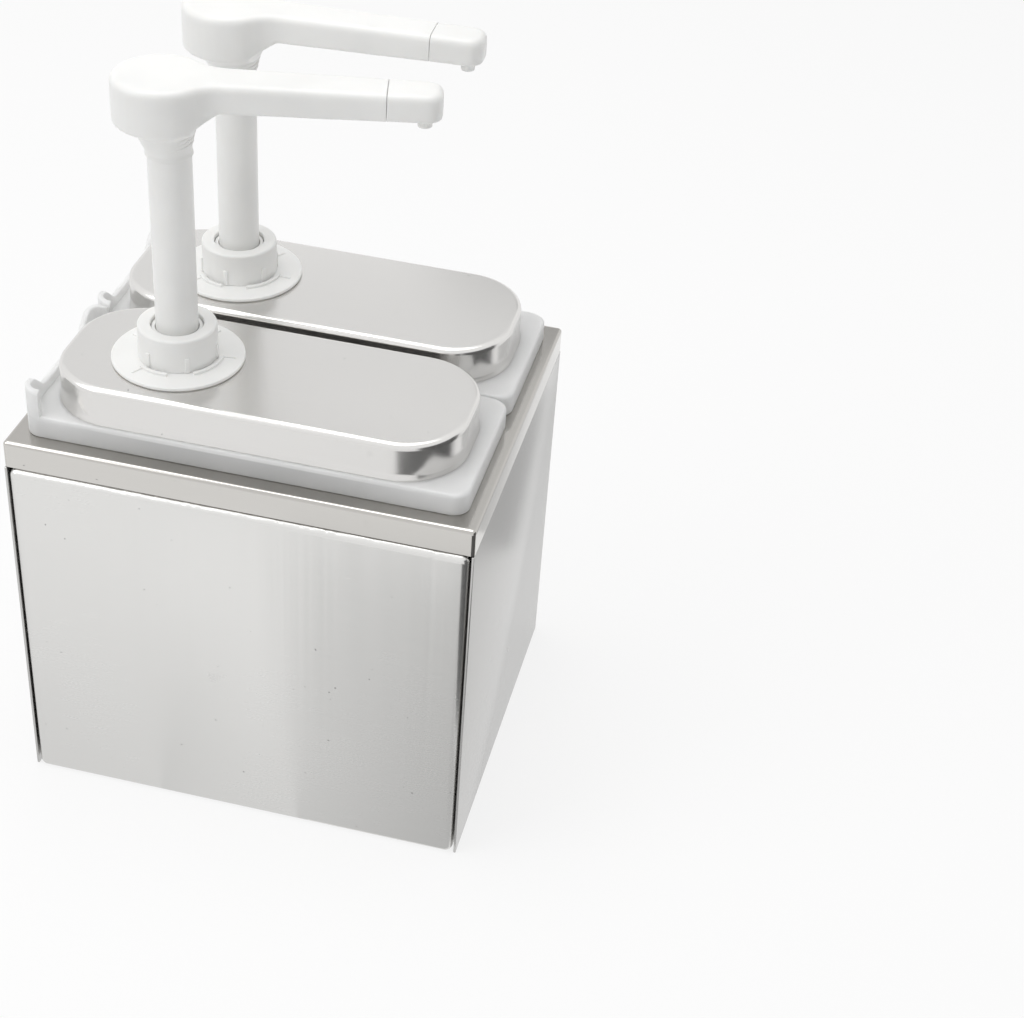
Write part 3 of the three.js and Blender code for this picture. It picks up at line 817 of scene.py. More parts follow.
    def cut_at(self, x: float, keep_low: bool, soft: float = 0.0) -> None:
        """Cuts the solid across X and closes the cut.

        Args:
            x: Where it is cut.
            keep_low: Whether the side of lower X stays.
            soft: The rounding of the cut's edge.
        """
        geometry = self.mesh.verts[:] + self.mesh.edges[:] + self.mesh.faces[:]
        bmesh.ops.bisect_plane(
            self.mesh, geom=geometry, dist=MERGE, plane_co=(x, 0, 0), plane_no=(1, 0, 0),
            use_snap_center=False, clear_outer=keep_low, clear_inner=not keep_low,
        )
        rim = [edge for edge in self.mesh.edges if edge.is_boundary]
        bmesh.ops.holes_fill(self.mesh, edges=rim, sides=0)
        if soft:
            self.round(rim, soft, 2)

    def extrude(self, faces: Sequence[BMFace], by: Sequence[float]) -> None:
        """Raises faces into a solid.

        Args:
            faces: What is raised.
            by: How far, axis by axis.
        """
        raised = bmesh.ops.extrude_face_region(self.mesh, geom=faces)["geom"]
        verts = [element for element in raised if isinstance(element, BMVert)]
        bmesh.ops.translate(self.mesh, vec=by, verts=verts)
        self.face_outwards()

    def copy(self) -> "Shaper":
        """Copies the mesh.

        Returns:
            Another shaper with the same mesh.
        """
        made = Shaper()
        scratch = mesh_data(self.mesh, "scratch")
        made.mesh.from_mesh(scratch)
        bpy.data.meshes.remove(scratch)
        return made

    def _object(self) -> bpy.types.Object:
        """A passing object that holds the mesh for a modifier."""
        return add_object("scratch", mesh_data(self.mesh, "scratch"))

    def _take(
        self,
        kind: str,
        settings: dict,
        passing: bpy.types.Object,
        *others: bpy.types.Object,
    ) -> "Shaper":
        """Takes over what one modifier makes of a passing object, and removes the objects.

        Args:
            kind: The modifier's type name.
            settings: Properties of the modifier.
            passing: The object that the modifier runs on.
            others: Other objects that go once it has run.

        Returns:
            This shaper.
        """
        modifier = passing.modifiers.new("shape", kind)
        for name, value in settings.items():
            setattr(modifier, name, value)
        bpy.context.view_layer.update()
        depsgraph = bpy.context.evaluated_depsgraph_get()
        data = bpy.data.meshes.new_from_object(passing.evaluated_get(depsgraph))
        self.mesh.free()
        self.mesh = bmesh.new()
        self.mesh.from_mesh(data)
        bpy.data.meshes.remove(data)
        for each in (passing, *others):
            kept = each.data
            bpy.data.objects.remove(each)
            bpy.data.meshes.remove(kept)
        return self

    def combine(self, other: "Shaper", how: Combine = Combine.UNION) -> "Shaper":
        """Joins another solid to this one, or cuts it away.

        Args:
            other: The other solid.
            how: Which of the two.

        Returns:
            This shaper.
        """
        passing, tool = self._object(), other._object()
        settings = {"object": tool, "operation": how.value, "solver": "EXACT"}
        return self._take("BOOLEAN", settings, passing, tool)

    def remesh(self, voxel: float) -> None:
        """Rebuilds the solid as one even skin."""
        self._take("REMESH", {"mode": "VOXEL", "voxel_size": voxel}, self._object())

    def finish(
        self,
        name: str,
        body: str,
        slot: str,
        finish: Finish,
        replaces: Sequence[str] = (),
        sharp: float = SHARP_ANGLE,
    ) -> bpy.types.Object:
        """Turns the mesh into a piece of the model, in metres, with its place in its mesh.

        Args:
            name: The piece's name.
            body: The CAD body that it rides on.
            slot: The record's material slot; not used.
            finish: What it is dressed in.
            replaces: The CAD nodes that it stands for.
            sharp: The angle past which an edge stays sharp.

        Returns:
            The piece.
        """
        bmesh.ops.remove_doubles(self.mesh, verts=self.mesh.verts, dist=MERGE)
        bmesh.ops.scale(self.mesh, vec=(MM, MM, MM), verts=self.mesh.verts)
        data = mesh_data(self.mesh, name)
        self.mesh.free()
        data.shade_smooth()
        data.set_sharp_from_angle(angle=sharp)
        data.materials.append(finish.material())
        piece = add_object(name, data)
        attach(piece, body)
        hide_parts(*replaces)
        log.info("%s: %d faces", name, len(data.polygons))
        return piece


def extent(node: str) -> tuple[Vector, Vector]:
    """The lowest and highest corner of a CAD node at rest, in millimetres."""
    low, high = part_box(node)
    return low / MM, high / MM


def middle_of(node: str) -> Vector:
    """The middle of a CAD node's box at rest, in millimetres."""
    low, high = extent(node)
    return (low + high) / 2


def merged_copy(node: str) -> Shaper:
    """Copies a CAD node's mesh with its triangles merged and its flat faces whole.

    Args:
        node: The CAD node.

    Returns:
        The copy.
    """
    copy = Shaper()
    copy.mesh.from_mesh(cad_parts[node].data)
    bmesh.ops.scale(copy.mesh, vec=(1 / MM, 1 / MM, 1 / MM), verts=copy.mesh.verts)
    bmesh.ops.remove_doubles(copy.mesh, verts=copy.mesh.verts, dist=WELD)
    bmesh.ops.dissolve_limit(
        copy.mesh, angle_limit=math.radians(1), use_dissolve_boundaries=False,
        verts=copy.mesh.verts, edges=copy.mesh.edges,
    )
    return copy


# Sub-assemblies


class Place(Enum):
    """Which of the two equal units a piece belongs to."""

    FRONT = "front"
    REAR = "rear"

    def name_of(self, part: str) -> str:
        """The name of a node, body or piece of this unit."""
        return f"{self.value}_{part}"


class Turns(NamedTuple):
    """How the parts of one pump are turned, in degrees."""

    head: float
    nut: float
    plate: float


TURNS = {Place.FRONT: Turns(13.0, 4.0, 8.5), Place.REAR: Turns(2.5, 28.0, -3.5)}


@dataclass
class Housing:
    """The folded steel box: two trays, two side panels, a base and the top frame."""

    sheet: float = 1.2
    tray_corner: float = 4.0
    tray_bend: float = 3.6
    tray_return: float = 10.0
    frame_corner: float = 2.0
    frame_bend: float = 2.1
    ledge_z: float = 206.0
    opening: Outline = Outline(198.0, 74.0, 27.0)
    edge_break: float = 0.22
    edge_steps: int = 2
    dent_cuts: int = 200
    dent_depth: float = 0.22
    dent_start: float = 10.0
    dent_run: float = 60.0
    slow_wave: float = 9.0
    slow_row: float = 3.7
    quick_wave: float = 2.5
    quick_row: float = 5.0
    quick_share: float = 0.6
    rough_share: float = 1.2
    lean_share: float = 0.6

    def build(self) -> None:
        """Makes every piece of the housing."""
        along_x = BrushedSteel("steel_brushed_along_panel")
        # The side panels and the base: the same steel tinted darker, as painted shade.
        side_steel_painted_shade = BrushedSteel("steel_brushed_side_painted_shade", grain=Grain.ALONG_Y, tint=(0.555, 0.55, 0.54))
        # The frame's steel: tinted darker than the panels' steel as painted shade, with a darker top as
        # painted reflection.
        dark = BrushedSteel(
            "steel_ledge_painted_shade", tint=(0.63, 0.615, 0.59), roughness=0.13,
            upper=(0.52, 0.505, 0.48), upper_z=self.ledge_z * MM,
        )
        self.tray("front_panel", "front_tray", along_x, 0.0)
        self.tray("rear_panel", "rear_tray", along_x, math.pi)
        self.top_frame(dark)
        sides = (("right_panel", "right_side"), ("left_panel", "left_side"), ("base_plate", "base_pan"))
        for node, name in sides:
            self.folded(node, name, side_steel_painted_shade)

    def put(self, shaper: Shaper, name: str, finish: Finish, node: str) -> None:
        """Makes a shape a piece of the housing."""
        shaper.finish(name, "housing", "housing_steel", finish, [node])

    def tray(self, node: str, name: str, finish: Finish, facing: float) -> None:
        """Makes the front or rear panel, a sheet with four returns folded back.

        Args:
            node: The CAD node that it stands for.
            name: The piece's name.
            finish: What it is dressed in.
            facing: How far it is turned from the front, in radians.
        """
        low, high = extent(node)
        outline = Outline(high.x - low.x, high.z - low.z, self.tray_corner)
        shaper = Shaper()
        shaper.loft([
            Station(outline, -self.tray_return),
            Station(outline, 0.0, self.tray_bend),
            Station(outline.inset(self.tray_bend + 2 * SUPPORT), 0.0),
        ], foot=False)
        shaper.wall(self.sheet)
        shaper.rotate(QUARTER, "X").move(y=-max(high.y, -low.y), z=(low.z + high.z) / 2)
        self.dent(shaper, high.z)
        self.put(shaper.rotate(facing), name, finish, node)

    def dent(self, shaper: Shaper, top: float) -> None:
        """Makes the top bend of a tray slightly uneven, as hand bending leaves it.

        Args:
            shaper: The tray, facing the front.
            top: The height of its top.
        """
        mesh = shaper.mesh
        bmesh.ops.subdivide_edges(mesh, edges=edges_along(mesh, 0, top / 2), cuts=self.dent_cuts)
        for vert in mesh.verts:
            height = clamped((vert.co.z - top + 2 * self.tray_bend) / self.tray_bend)
            if height:
                slow = noise.noise(Vector((vert.co.x / self.slow_wave, 0.0, self.slow_row)))
                quick = noise.noise(Vector((vert.co.x / self.quick_wave, self.quick_row, 0.0)))
                rough = self.rough_share * clamped((vert.co.x - self.dent_start) / self.dent_run)
                shift = self.dent_depth * height * (slow + self.quick_share * quick - rough * abs(quick))
                vert.co.z += min(shift, 0.0)
                vert.co.y -= shift * self.lean_share

    def top_frame(self, finish: Finish) -> None:
        """Makes the ledge round the jars with its band turned down.

        Args:
            finish: What it is dressed in.
        """
        low, high = extent("top_frame")
        outline = Outline(high.x - low.x, high.y - low.y, self.frame_corner)
        shaper = Shaper()
        edge = shaper.loft([
            Station(outline, low.z),
            Station(outline, high.z, self.frame_bend),
            Station(outline.inset(self.frame_bend + 2 * SUPPORT), high.z),
        ], foot=False, top=False)[-1]
        for place in Place:
            before = Held(shaper.mesh)
            edge = edge + shaper.ring(self.opening, high.z)
            shift = (0, middle_of(place.name_of("jar")).y, 0)
            bmesh.ops.translate(shaper.mesh, vec=shift, verts=before.fresh()[0])
        shaper.fill_between(edge)
        shaper.wall(self.sheet)
        self.put(shaper, "ledge_and_band", finish, "top_frame")

    def folded(self, node: str, name: str, finish: Finish) -> None:
        """Makes a side panel or the base from the CAD node's own folds, with its edges broken.

        Args:
            node: The CAD node that it stands for.
            name: The piece's name.
            finish: What it is dressed in.
        """
        shaper = merged_copy(node)
        sharp = [edge for edge in shaper.mesh.edges if edge.calc_face_angle(0.0) > SHARP_ANGLE]
        shaper.bevel(sharp, self.edge_break, self.edge_steps, clamp=True)
        self.put(shaper, name, finish, node)


@dataclass
class Unit:
    """What the jar, the lid and the pump of one place share."""

    place: Place

    def ends(self, node: str) -> tuple[float, float]:
        """The lowest and highest Z of a CAD node of this unit."""
        low, high = extent(self.place.name_of(node))
        return low.z, high.z

    def put(self, shaper: Shaper, part: str, node: str, body: str, slot: str) -> bpy.types.Object:
        """Makes a shape a piece of this unit.

        Args:
            shaper: The shape, in its place.
            part: The piece's name without the place.
            node: The CAD node that it stands for.
            body: The body that it rides on.
            slot: The record's material slot, which settles the finish.

        Returns:
            The piece.
        """
        name, body, node = (self.place.name_of(word) for word in (part, body, node))
        return shaper.finish(name, body, slot, FINISHES[slot], [node])


@dataclass
class Jar(Unit):
    """A milky jar: tapered body, flange with its skirt, neck and scooped end wall."""

    flange: Outline = Outline(216.0, 85.0, 8.0)
    body: Outline = Outline(196.0, 72.0, 26.0)
    neck: Outline = Outline(196.0, 76.0, 29.5)
    wall: float = 2.5
    draft: float = 4.0
    floor_z: float = 6.0
    floor_radius: float = 6.0
    skirt_z: float = 207.0
    skirt_edge: float = 0.6
    skirt_inner_edge: float = 0.5
    flange_z: float = 218.5
    flange_edge: float = 2.0
    root_edge: float = 1.0
    step: float = 1.0
    neck_z: float = 232.5
    neck_edge: float = 0.7
    end_wall_z: float = 232.6
    end_wall_thick: float = 3.0
    end_wall_reach: float = 9.0
    end_wall_edge: float = 0.8
    end_wall_steps: int = 3
    end_wall_cuts: int = 40
    scoop_z: float = 223.4
    scoop_half: float = 20.0
    scoop_ramp: float = 14.0
    corner_share: float = 0.6

    def build(self) -> None:
        """Makes the jar as one solid."""
        shaper = Shaper()
        shaper.loft(self.stations())
        shaper.combine(self.end_wall())
        low, high = extent(self.place.name_of("jar"))
        self.put(shaper.move(y=(low.y + high.y) / 2), "jar_moulding", "jar", "tank", "jar_plastic")

    def stations(self) -> list[Station]:
        """The jar's skin from the outer floor up, over the neck and down to the inner floor.

        Returns:
            The stations of its loft.
        """
        under_z, inner_floor_z = self.flange_z - self.wall, self.floor_z + self.wall
        foot = self.body.inset(self.draft)
        inner_foot = foot.inset(self.wall)
        inner_flange, inner_neck = self.flange.inset(self.wall), self.neck.inset(self.wall)
        return [
            Station(foot.inset(self.floor_radius + 2 * SUPPORT), self.floor_z),
            Station(foot, self.floor_z, self.floor_radius),
            Station(self.body, under_z),
            Station(inner_flange, under_z, self.root_edge),
            Station(inner_flange, self.skirt_z, self.skirt_inner_edge),
            Station(self.flange, self.skirt_z, self.skirt_edge),
            Station(self.flange, self.flange_z, self.flange_edge),
            Station(self.neck, self.flange_z, self.root_edge),
            Station(self.neck, self.neck_z, self.neck_edge),
            Station(inner_neck, self.neck_z, self.neck_edge),
            Station(inner_neck, under_z + self.step),
            Station(self.body.inset(self.wall), under_z - self.step),
            Station(inner_foot, inner_floor_z, self.floor_radius - self.wall),
            Station(inner_foot.inset(self.floor_radius), inner_floor_z),
        ]

    def end_wall(self) -> Shaper:
        """The raised wall at the left end, with its scoop and its rounded corners.

        Returns:
            The wall as a solid that reaches into the flange.
        """
        shaper = Shaper()
        inner = self.flange.inset(self.end_wall_thick)
        foot_z, top_z = self.flange_z - self.wall / 2, self.end_wall_z
        rings = [(self.flange, foot_z), (self.flange, top_z), (inner, top_z), (inner, foot_z)]
        shaper.loft([Station(outline, z) for outline, z in rings], closed=True)
        shaper.cut_at(self.end_wall_reach - self.flange.length / 2, keep_low=True)
        mesh = shaper.mesh
        bmesh.ops.subdivide_edges(mesh, edges=edges_along(mesh, 1, self.scoop_half), cuts=self.end_wall_cuts)
        shaper.face_outwards()
        tops = {vert for vert in mesh.verts if vert.co.z > top_z - MERGE}
        for vert in tops:
            vert.co.z = self.top_at(abs(vert.co.y))
        rim = [
            edge for edge in mesh.edges
            if all(vert in tops for vert in edge.verts) and edge.calc_face_angle(0.0) > SHARP_ANGLE
        ]
        shaper.round(rim, self.end_wall_edge, self.end_wall_steps)
        return shaper

    def top_at(self, y: float) -> float:
        """The height of the end wall's top.

        Args:
            y: The distance from the wall's middle.

        Returns:
            The height, which rises smoothly from the scoop and falls at the round corner.
        """
        share = clamped((y - self.scoop_half) / self.scoop_ramp)
        height = self.scoop_z + (self.end_wall_z - self.scoop_z) * share * share * (3 - 2 * share)
        corner = self.flange.width / 2 - self.end_wall_thick
        over = max(y - corner, 0.0) / self.end_wall_thick
        return height - self.end_wall_thick * (1 - math.sqrt(max(1 - over * over, 0.0))) * self.corner_share


@dataclass
class Lid(Unit):
    """A pressed steel lid with a small lip at its foot and a hole for the pump."""

    outline: Outline = Outline(201.0, 81.0, 32.0)
    sheet: float = 1.0
    edge_radius: float = 3.0
    lip: float = 0.7
    lip_height: float = 1.6
    lip_edge: float = 0.3
    lip_root: float = 0.8
    hole_radius: float = 15.9

    def build(self) -> None:
        """Makes the lid."""
        low, high = extent(self.place.name_of("lid"))
        wall = self.outline.inset(self.lip)
        shaper = Shaper()
        edge = shaper.loft([
            Station(self.outline, low.z),
            Station(self.outline.inset(self.lip / 5), low.z + self.lip_height / 2, self.lip_edge),
            Station(wall, low.z + 2 * self.lip_height, self.lip_root),
            Station(wall, high.z, self.edge_radius),
            Station(wall.inset(self.edge_radius + 2 * SUPPORT), high.z),
        ], foot=False, top=False)[-1]
        before = Held(shaper.mesh)
        bmesh.ops.create_circle(shaper.mesh, segments=RING_STEPS, radius=self.hole_radius, cap_ends=False)
        verts, hole, _ = before.fresh()
        axis = middle_of(self.place.name_of("stem"))
        bmesh.ops.translate(shaper.mesh, vec=(axis.x, 0, high.z), verts=verts)
        shaper.fill_between(edge + hole)
        shaper.wall(self.sheet)
        self.put(shaper.move(y=(low.y + high.y) / 2), "lid_pressing", "lid", "pump", "lid_steel")


@dataclass
class Pump(Unit):
    """One pump: disc, nut and guide on the lid, cylinder below it, and the plunger inside."""

    gap: float = 0.3
    plate_radius: float = 31.6
    rim_gap: float = 0.45
    hub_bore: float = 20.2
    hub_radius: float = 22.0
    hub_rise: float = 1.3
    hub_edge: float = 0.35
    hub_steps: int = 16
    hub_arcs: tuple[tuple[float, float], ...] = ((-58.0, 0.0), (50.0, 90.0), (122.0, 165.0), (228.0, 268.0))
    ribs: tuple[float, ...] = (0.0, 56.0, 154.0, 231.0)
    rib_end: float = 27.6
    rib_overlap: float = 0.8
    rib_half: float = 0.5
    rib_rise: float = 0.6
    rib_edge: float = 0.25
    sunk: float = 0.5
    nut_radius: float = 18.8
    nut_bore: float = 15.6
    nut_hole: float = 12.5
    nut_top: float = 3.2
    nut_ribs: int = 6
    nut_rib_height: float = 8.0
    nut_rib_half: float = 1.2
    nut_rib_proud: float = 0.7
    nut_rib_edge: float = 0.5
    guide_rim: float = 2.0
    guide_collar: float = 12.1
    guide_rise: float = 1.8
    bore: float = 13.0
    outer: float = 15.0
    floor: float = 3.0
    flange_radius: float = 26.0
    flange: float = 3.0
    flange_drop: float = 5.5
    threads: int = 3
    thread_start: float = 1.0
    thread_pitch: float = 3.2
    thread_height: float = 1.6
    thread_proud: float = 0.35
    thread_edge: float = 0.15
    spigot: float = 12.0
    spigot_length: float = 8.0
    port: float = 3.5
    cage: float = 5.2
    cage_height: float = 10.5
    seat_rise: float = 1.5
    tube_bore: float = 6.0
    tube_radius: float = 8.0
    tube_plug: float = 8.0
    shoulder: float = 3.0
    cone: float = 5.0
    stem_radius: float = 10.0
    stem_foot: float = 4.0
    stem_port: float = 4.0
    stem_bore: float = 5.5
    stem_spigot: float = 8.2
    socket: float = 6.0
    groove: float = 10.8
    groove_low: float = 5.0
    groove_high: float = 9.0
    seal_bore: float = 11.1
    stroke: float = 60.0

    def __post_init__(self) -> None:
        """Reads the heights and the axis from the CAD nodes."""
        self.turns = TURNS[self.place]
        self.axis = middle_of(self.place.name_of("stem"))
        self.lid_z = self.ends("lid")[1]
        self.nut_low, self.nut_high = self.ends("collar_nut")

    def fit(
        self,
        shaper: Shaper,
        part: str,
        node: str,
        body: str = "pump",
        slot: str = "pump_plastic",
    ) -> None:
        """Moves a part to the pump's axis and makes it a piece."""
        self.put(shaper.move(self.axis.x, self.axis.y), part, node, body, slot)

    def hoop(self, node: str, bore: float, radius: float, soft_in: float, soft_out: float) -> Shaper:
        """Turns a plain ring as high as a CAD node.

        Args:
            node: The CAD node that gives the heights.
            bore: The ring's inner radius.
            radius: Its outer radius.
            soft_in: The rounding of its inner edges.
            soft_out: The rounding of its outer edges.

        Returns:
            The ring.
        """
        low, high = self.ends(node)
        return Shaper().turn([
            (bore, low, soft_in), (radius, low, soft_out), (radius, high, soft_out), (bore, high, soft_in),
        ], RING_STEPS)

    def cage_below(self, top: float, seat: float) -> list[tuple]:
        """The corners of a check ball's space, from its open end down to its seat."""
        return [(self.cage, top), (self.cage, seat + self.seat_rise), (self.port, seat, 0.2)]

    def build(self) -> None:
        """Makes every piece of the pump but its spout."""
        self.disc()
        self.nut()
        self.guide()
        self.barrel()
        self.foot_valve()
        tube = self.hoop("dip_tube", self.tube_bore, self.tube_radius, 0.4, 0.4)
        self.fit(tube, "suction_tube", "dip_tube")
        self.stem()
        self.piston()
        self.rubber()
        self.balls()
        self.spring()

    def disc(self) -> None:
        """The white disc on the lid, with its slotted hub and short ribs."""
        low, top = self.lid_z, self.nut_low
        hole, foot, rim_z = self.nut_bore + self.gap, self.plate_radius - 2 * self.rim_gap, low + self.rim_gap
        shaper = Shaper().turn([
            (hole, low), (foot, low), (foot, rim_z), (self.plate_radius, rim_z, 0.2),
            (self.plate_radius, top, 0.6), (hole, top),
        ])
        root, crest = top - self.sunk, top + self.hub_rise
        section = [
            (self.hub_bore, root), (self.hub_radius, root),
            (self.hub_radius, crest, self.hub_edge), (self.hub_bore, crest, self.hub_edge),
        ]
        for start, end in self.hub_arcs:
            arc = Shaper().turn(section, self.hub_steps, math.radians(end - start)).face_outwards()
            shaper.combine(arc.rotate(math.radians(self.turns.plate + start)))
        for angle in self.ribs:
            near = (self.hub_radius - self.rib_overlap, -self.rib_half, root)
            rib = Shaper().block(near, (self.rib_end, self.rib_half, top + self.rib_rise), self.rib_edge)
            shaper.combine(rib.rotate(math.radians(self.turns.plate + angle)))
        self.fit(shaper, "disc", "mounting_plate")

    def nut(self) -> None:
        """The collar nut with its short upright ribs."""
        low, high = self.nut_low, self.nut_high
        under = high - self.nut_top
        shaper = Shaper().turn([
            (self.nut_bore, low), (self.nut_radius, low, 0.4), (self.nut_radius, high, 1.2),
            (self.nut_hole, high, 0.8), (self.nut_hole, under, 0.3), (self.nut_bore, under, 0.5),
        ])
        near = (self.nut_radius - self.nut_rib_half, -self.nut_rib_half, low)
        far = (self.nut_radius + self.nut_rib_proud, self.nut_rib_half, low + self.nut_rib_height)
        for index in range(self.nut_ribs):
            angle = math.radians(self.turns.nut + index * 360 / self.nut_ribs)
            shaper.combine(Shaper().block(near, far, self.nut_rib_edge).rotate(angle))
        self.fit(shaper, "nut", "collar_nut")

    def guide(self) -> None:
        """The bush round the stem, under the nut."""
        low, high = self.ends("stem_guide")
        port, plug, collar = self.stem_radius + self.gap, self.bore - self.gap, self.guide_collar
        step, crest = high - self.guide_rim, high + self.guide_rise
        self.fit(Shaper().turn([
            (port, low, 0.4), (plug, low, 0.4), (plug, step), (self.outer, step, 0.3),
            (self.outer, high, 0.3), (collar, high, 0.3), (collar, crest, 0.5), (port, crest, 0.5),
        ]), "guide_bush", "stem_guide")

    def barrel(self) -> None:
        """The cylinder with its threaded neck, its flange under the lid and its spigot."""
        low, high = self.ends("cylinder")
        foot, bore, outer, rim = low + self.spigot_length, self.bore, self.outer, self.flange_radius
        floor_z, flange_z = foot + self.floor, self.lid_z - self.flange_drop
        threads: list[tuple] = []
        for turn in range(self.threads):
            root = self.nut_low + self.thread_start + self.thread_pitch * turn
            crest = (outer + self.thread_proud, root + self.thread_height / 2, self.thread_edge)
            threads += [(outer, root), crest, (outer, root + self.thread_height)]
        self.fit(Shaper().turn([
            (bore, high, 0.4), (bore, floor_z, 0.8), (self.port, floor_z, 0.4), (self.port, foot),
            (self.cage, foot), (self.cage, low, 0.2), (self.spigot, low, 0.5), (self.spigot, foot),
            (outer, foot, 0.6), (outer, flange_z, 0.8), (rim, flange_z, 0.8),
            (rim, flange_z + self.flange, 0.4), (outer, flange_z + self.flange), *threads, (outer, high, 0.4),
        ]), "pump_cylinder", "cylinder")

    def foot_valve(self) -> None:
        """The cup under the cylinder, with the inlet seat and the tube's plug."""
        low, high = self.ends("foot_valve")
        plug_z, plug, cup = low + self.tube_plug, self.tube_bore - self.gap, self.spigot + self.gap
        neck_z = plug_z + self.shoulder
        floor_z, seat = high + self.gap - self.spigot_length, high + self.gap - self.cage_height
        self.fit(Shaper().turn([
            (self.port, low, 0.3), (plug, low, 0.4), (plug, plug_z), (self.tube_radius, plug_z, 0.4),
            (self.tube_radius, neck_z, 0.8), (self.outer, neck_z + self.cone, 0.8), (self.outer, high, 0.4),
            (cup, high, 0.3), (cup, floor_z), *self.cage_below(floor_z, seat),
        ]), "inlet_cup", "foot_valve")

    def stem(self) -> None:
        """The stem, with a spigot for the head and a narrow port at its foot."""
        low, high = self.ends("stem")
        shoulder, port_z = self.ends("head")[0] - self.gap, low + self.stem_foot
        self.fit(Shaper().turn([
            (self.stem_port, low), (self.stem_radius, low, 0.5), (self.stem_radius, shoulder, 0.4),
            (self.stem_spigot, shoulder), (self.stem_spigot, high, 0.6), (self.stem_bore, high, 0.4),
            (self.stem_bore, port_z), (self.stem_port, port_z),
        ]), "stem_tube", "stem", "plunger")

    def piston(self) -> None:
        """The piston, with the seal's groove, the stem's socket and the outlet seat."""
        low, high = self.ends("piston")
        radius, socket, floor_z = self.bore - self.gap, self.stem_radius + self.gap, high - self.socket
        groove_low, groove_high = low + self.groove_low, low + self.groove_high
        self.fit(Shaper().turn([
            (self.port, low, 0.3), (radius, low, 0.6), (radius, groove_low), (self.groove, groove_low, 0.2),
            (self.groove, groove_high, 0.2), (radius, groove_high), (radius, high, 0.6), (socket, high, 0.3),
            (socket, floor_z), *self.cage_below(floor_z, floor_z - self.cage_height),
        ]), "piston_body", "piston", "plunger")

    def rubber(self) -> None:
        """The piston's seal and the gasket under the lid."""
        low, high = extent(self.place.name_of("piston_seal"))
        seal = self.hoop("piston_seal", self.seal_bore, (high.x - low.x) / 2, 0.5, 1.2)
        self.fit(seal, "seal_ring", "piston_seal", "plunger", "seal_rubber")
        gasket = self.hoop("cylinder_gasket", self.nut_bore, self.flange_radius, 0.3, 0.5)
        self.fit(gasket, "lid_gasket", "cylinder_gasket", slot="seal_rubber")

    def balls(self) -> None:
        """The two check balls."""
        for part, body in (("inlet_ball", "inlet_valve"), ("outlet_ball", "outlet_valve")):
            low, high = self.ends(part)
            ball = Shaper()
            bmesh.ops.create_uvsphere(ball.mesh, u_segments=48, v_segments=24, radius=(high - low) / 2)
            self.fit(ball.move(z=(high + low) / 2), part + "_polished", part, body, "valve_steel")

    def spring(self) -> None:
        """The return spring, copied from the CAD model with a mesh of its own."""
        low, high = self.ends("return_spring")
        copy = merged_copy(self.place.name_of("return_spring"))
        spring = self.put(copy, "spring_wire", "return_spring", "pump", "valve_steel")
        self.place.name_of("pump_stroke")
        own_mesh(spring)


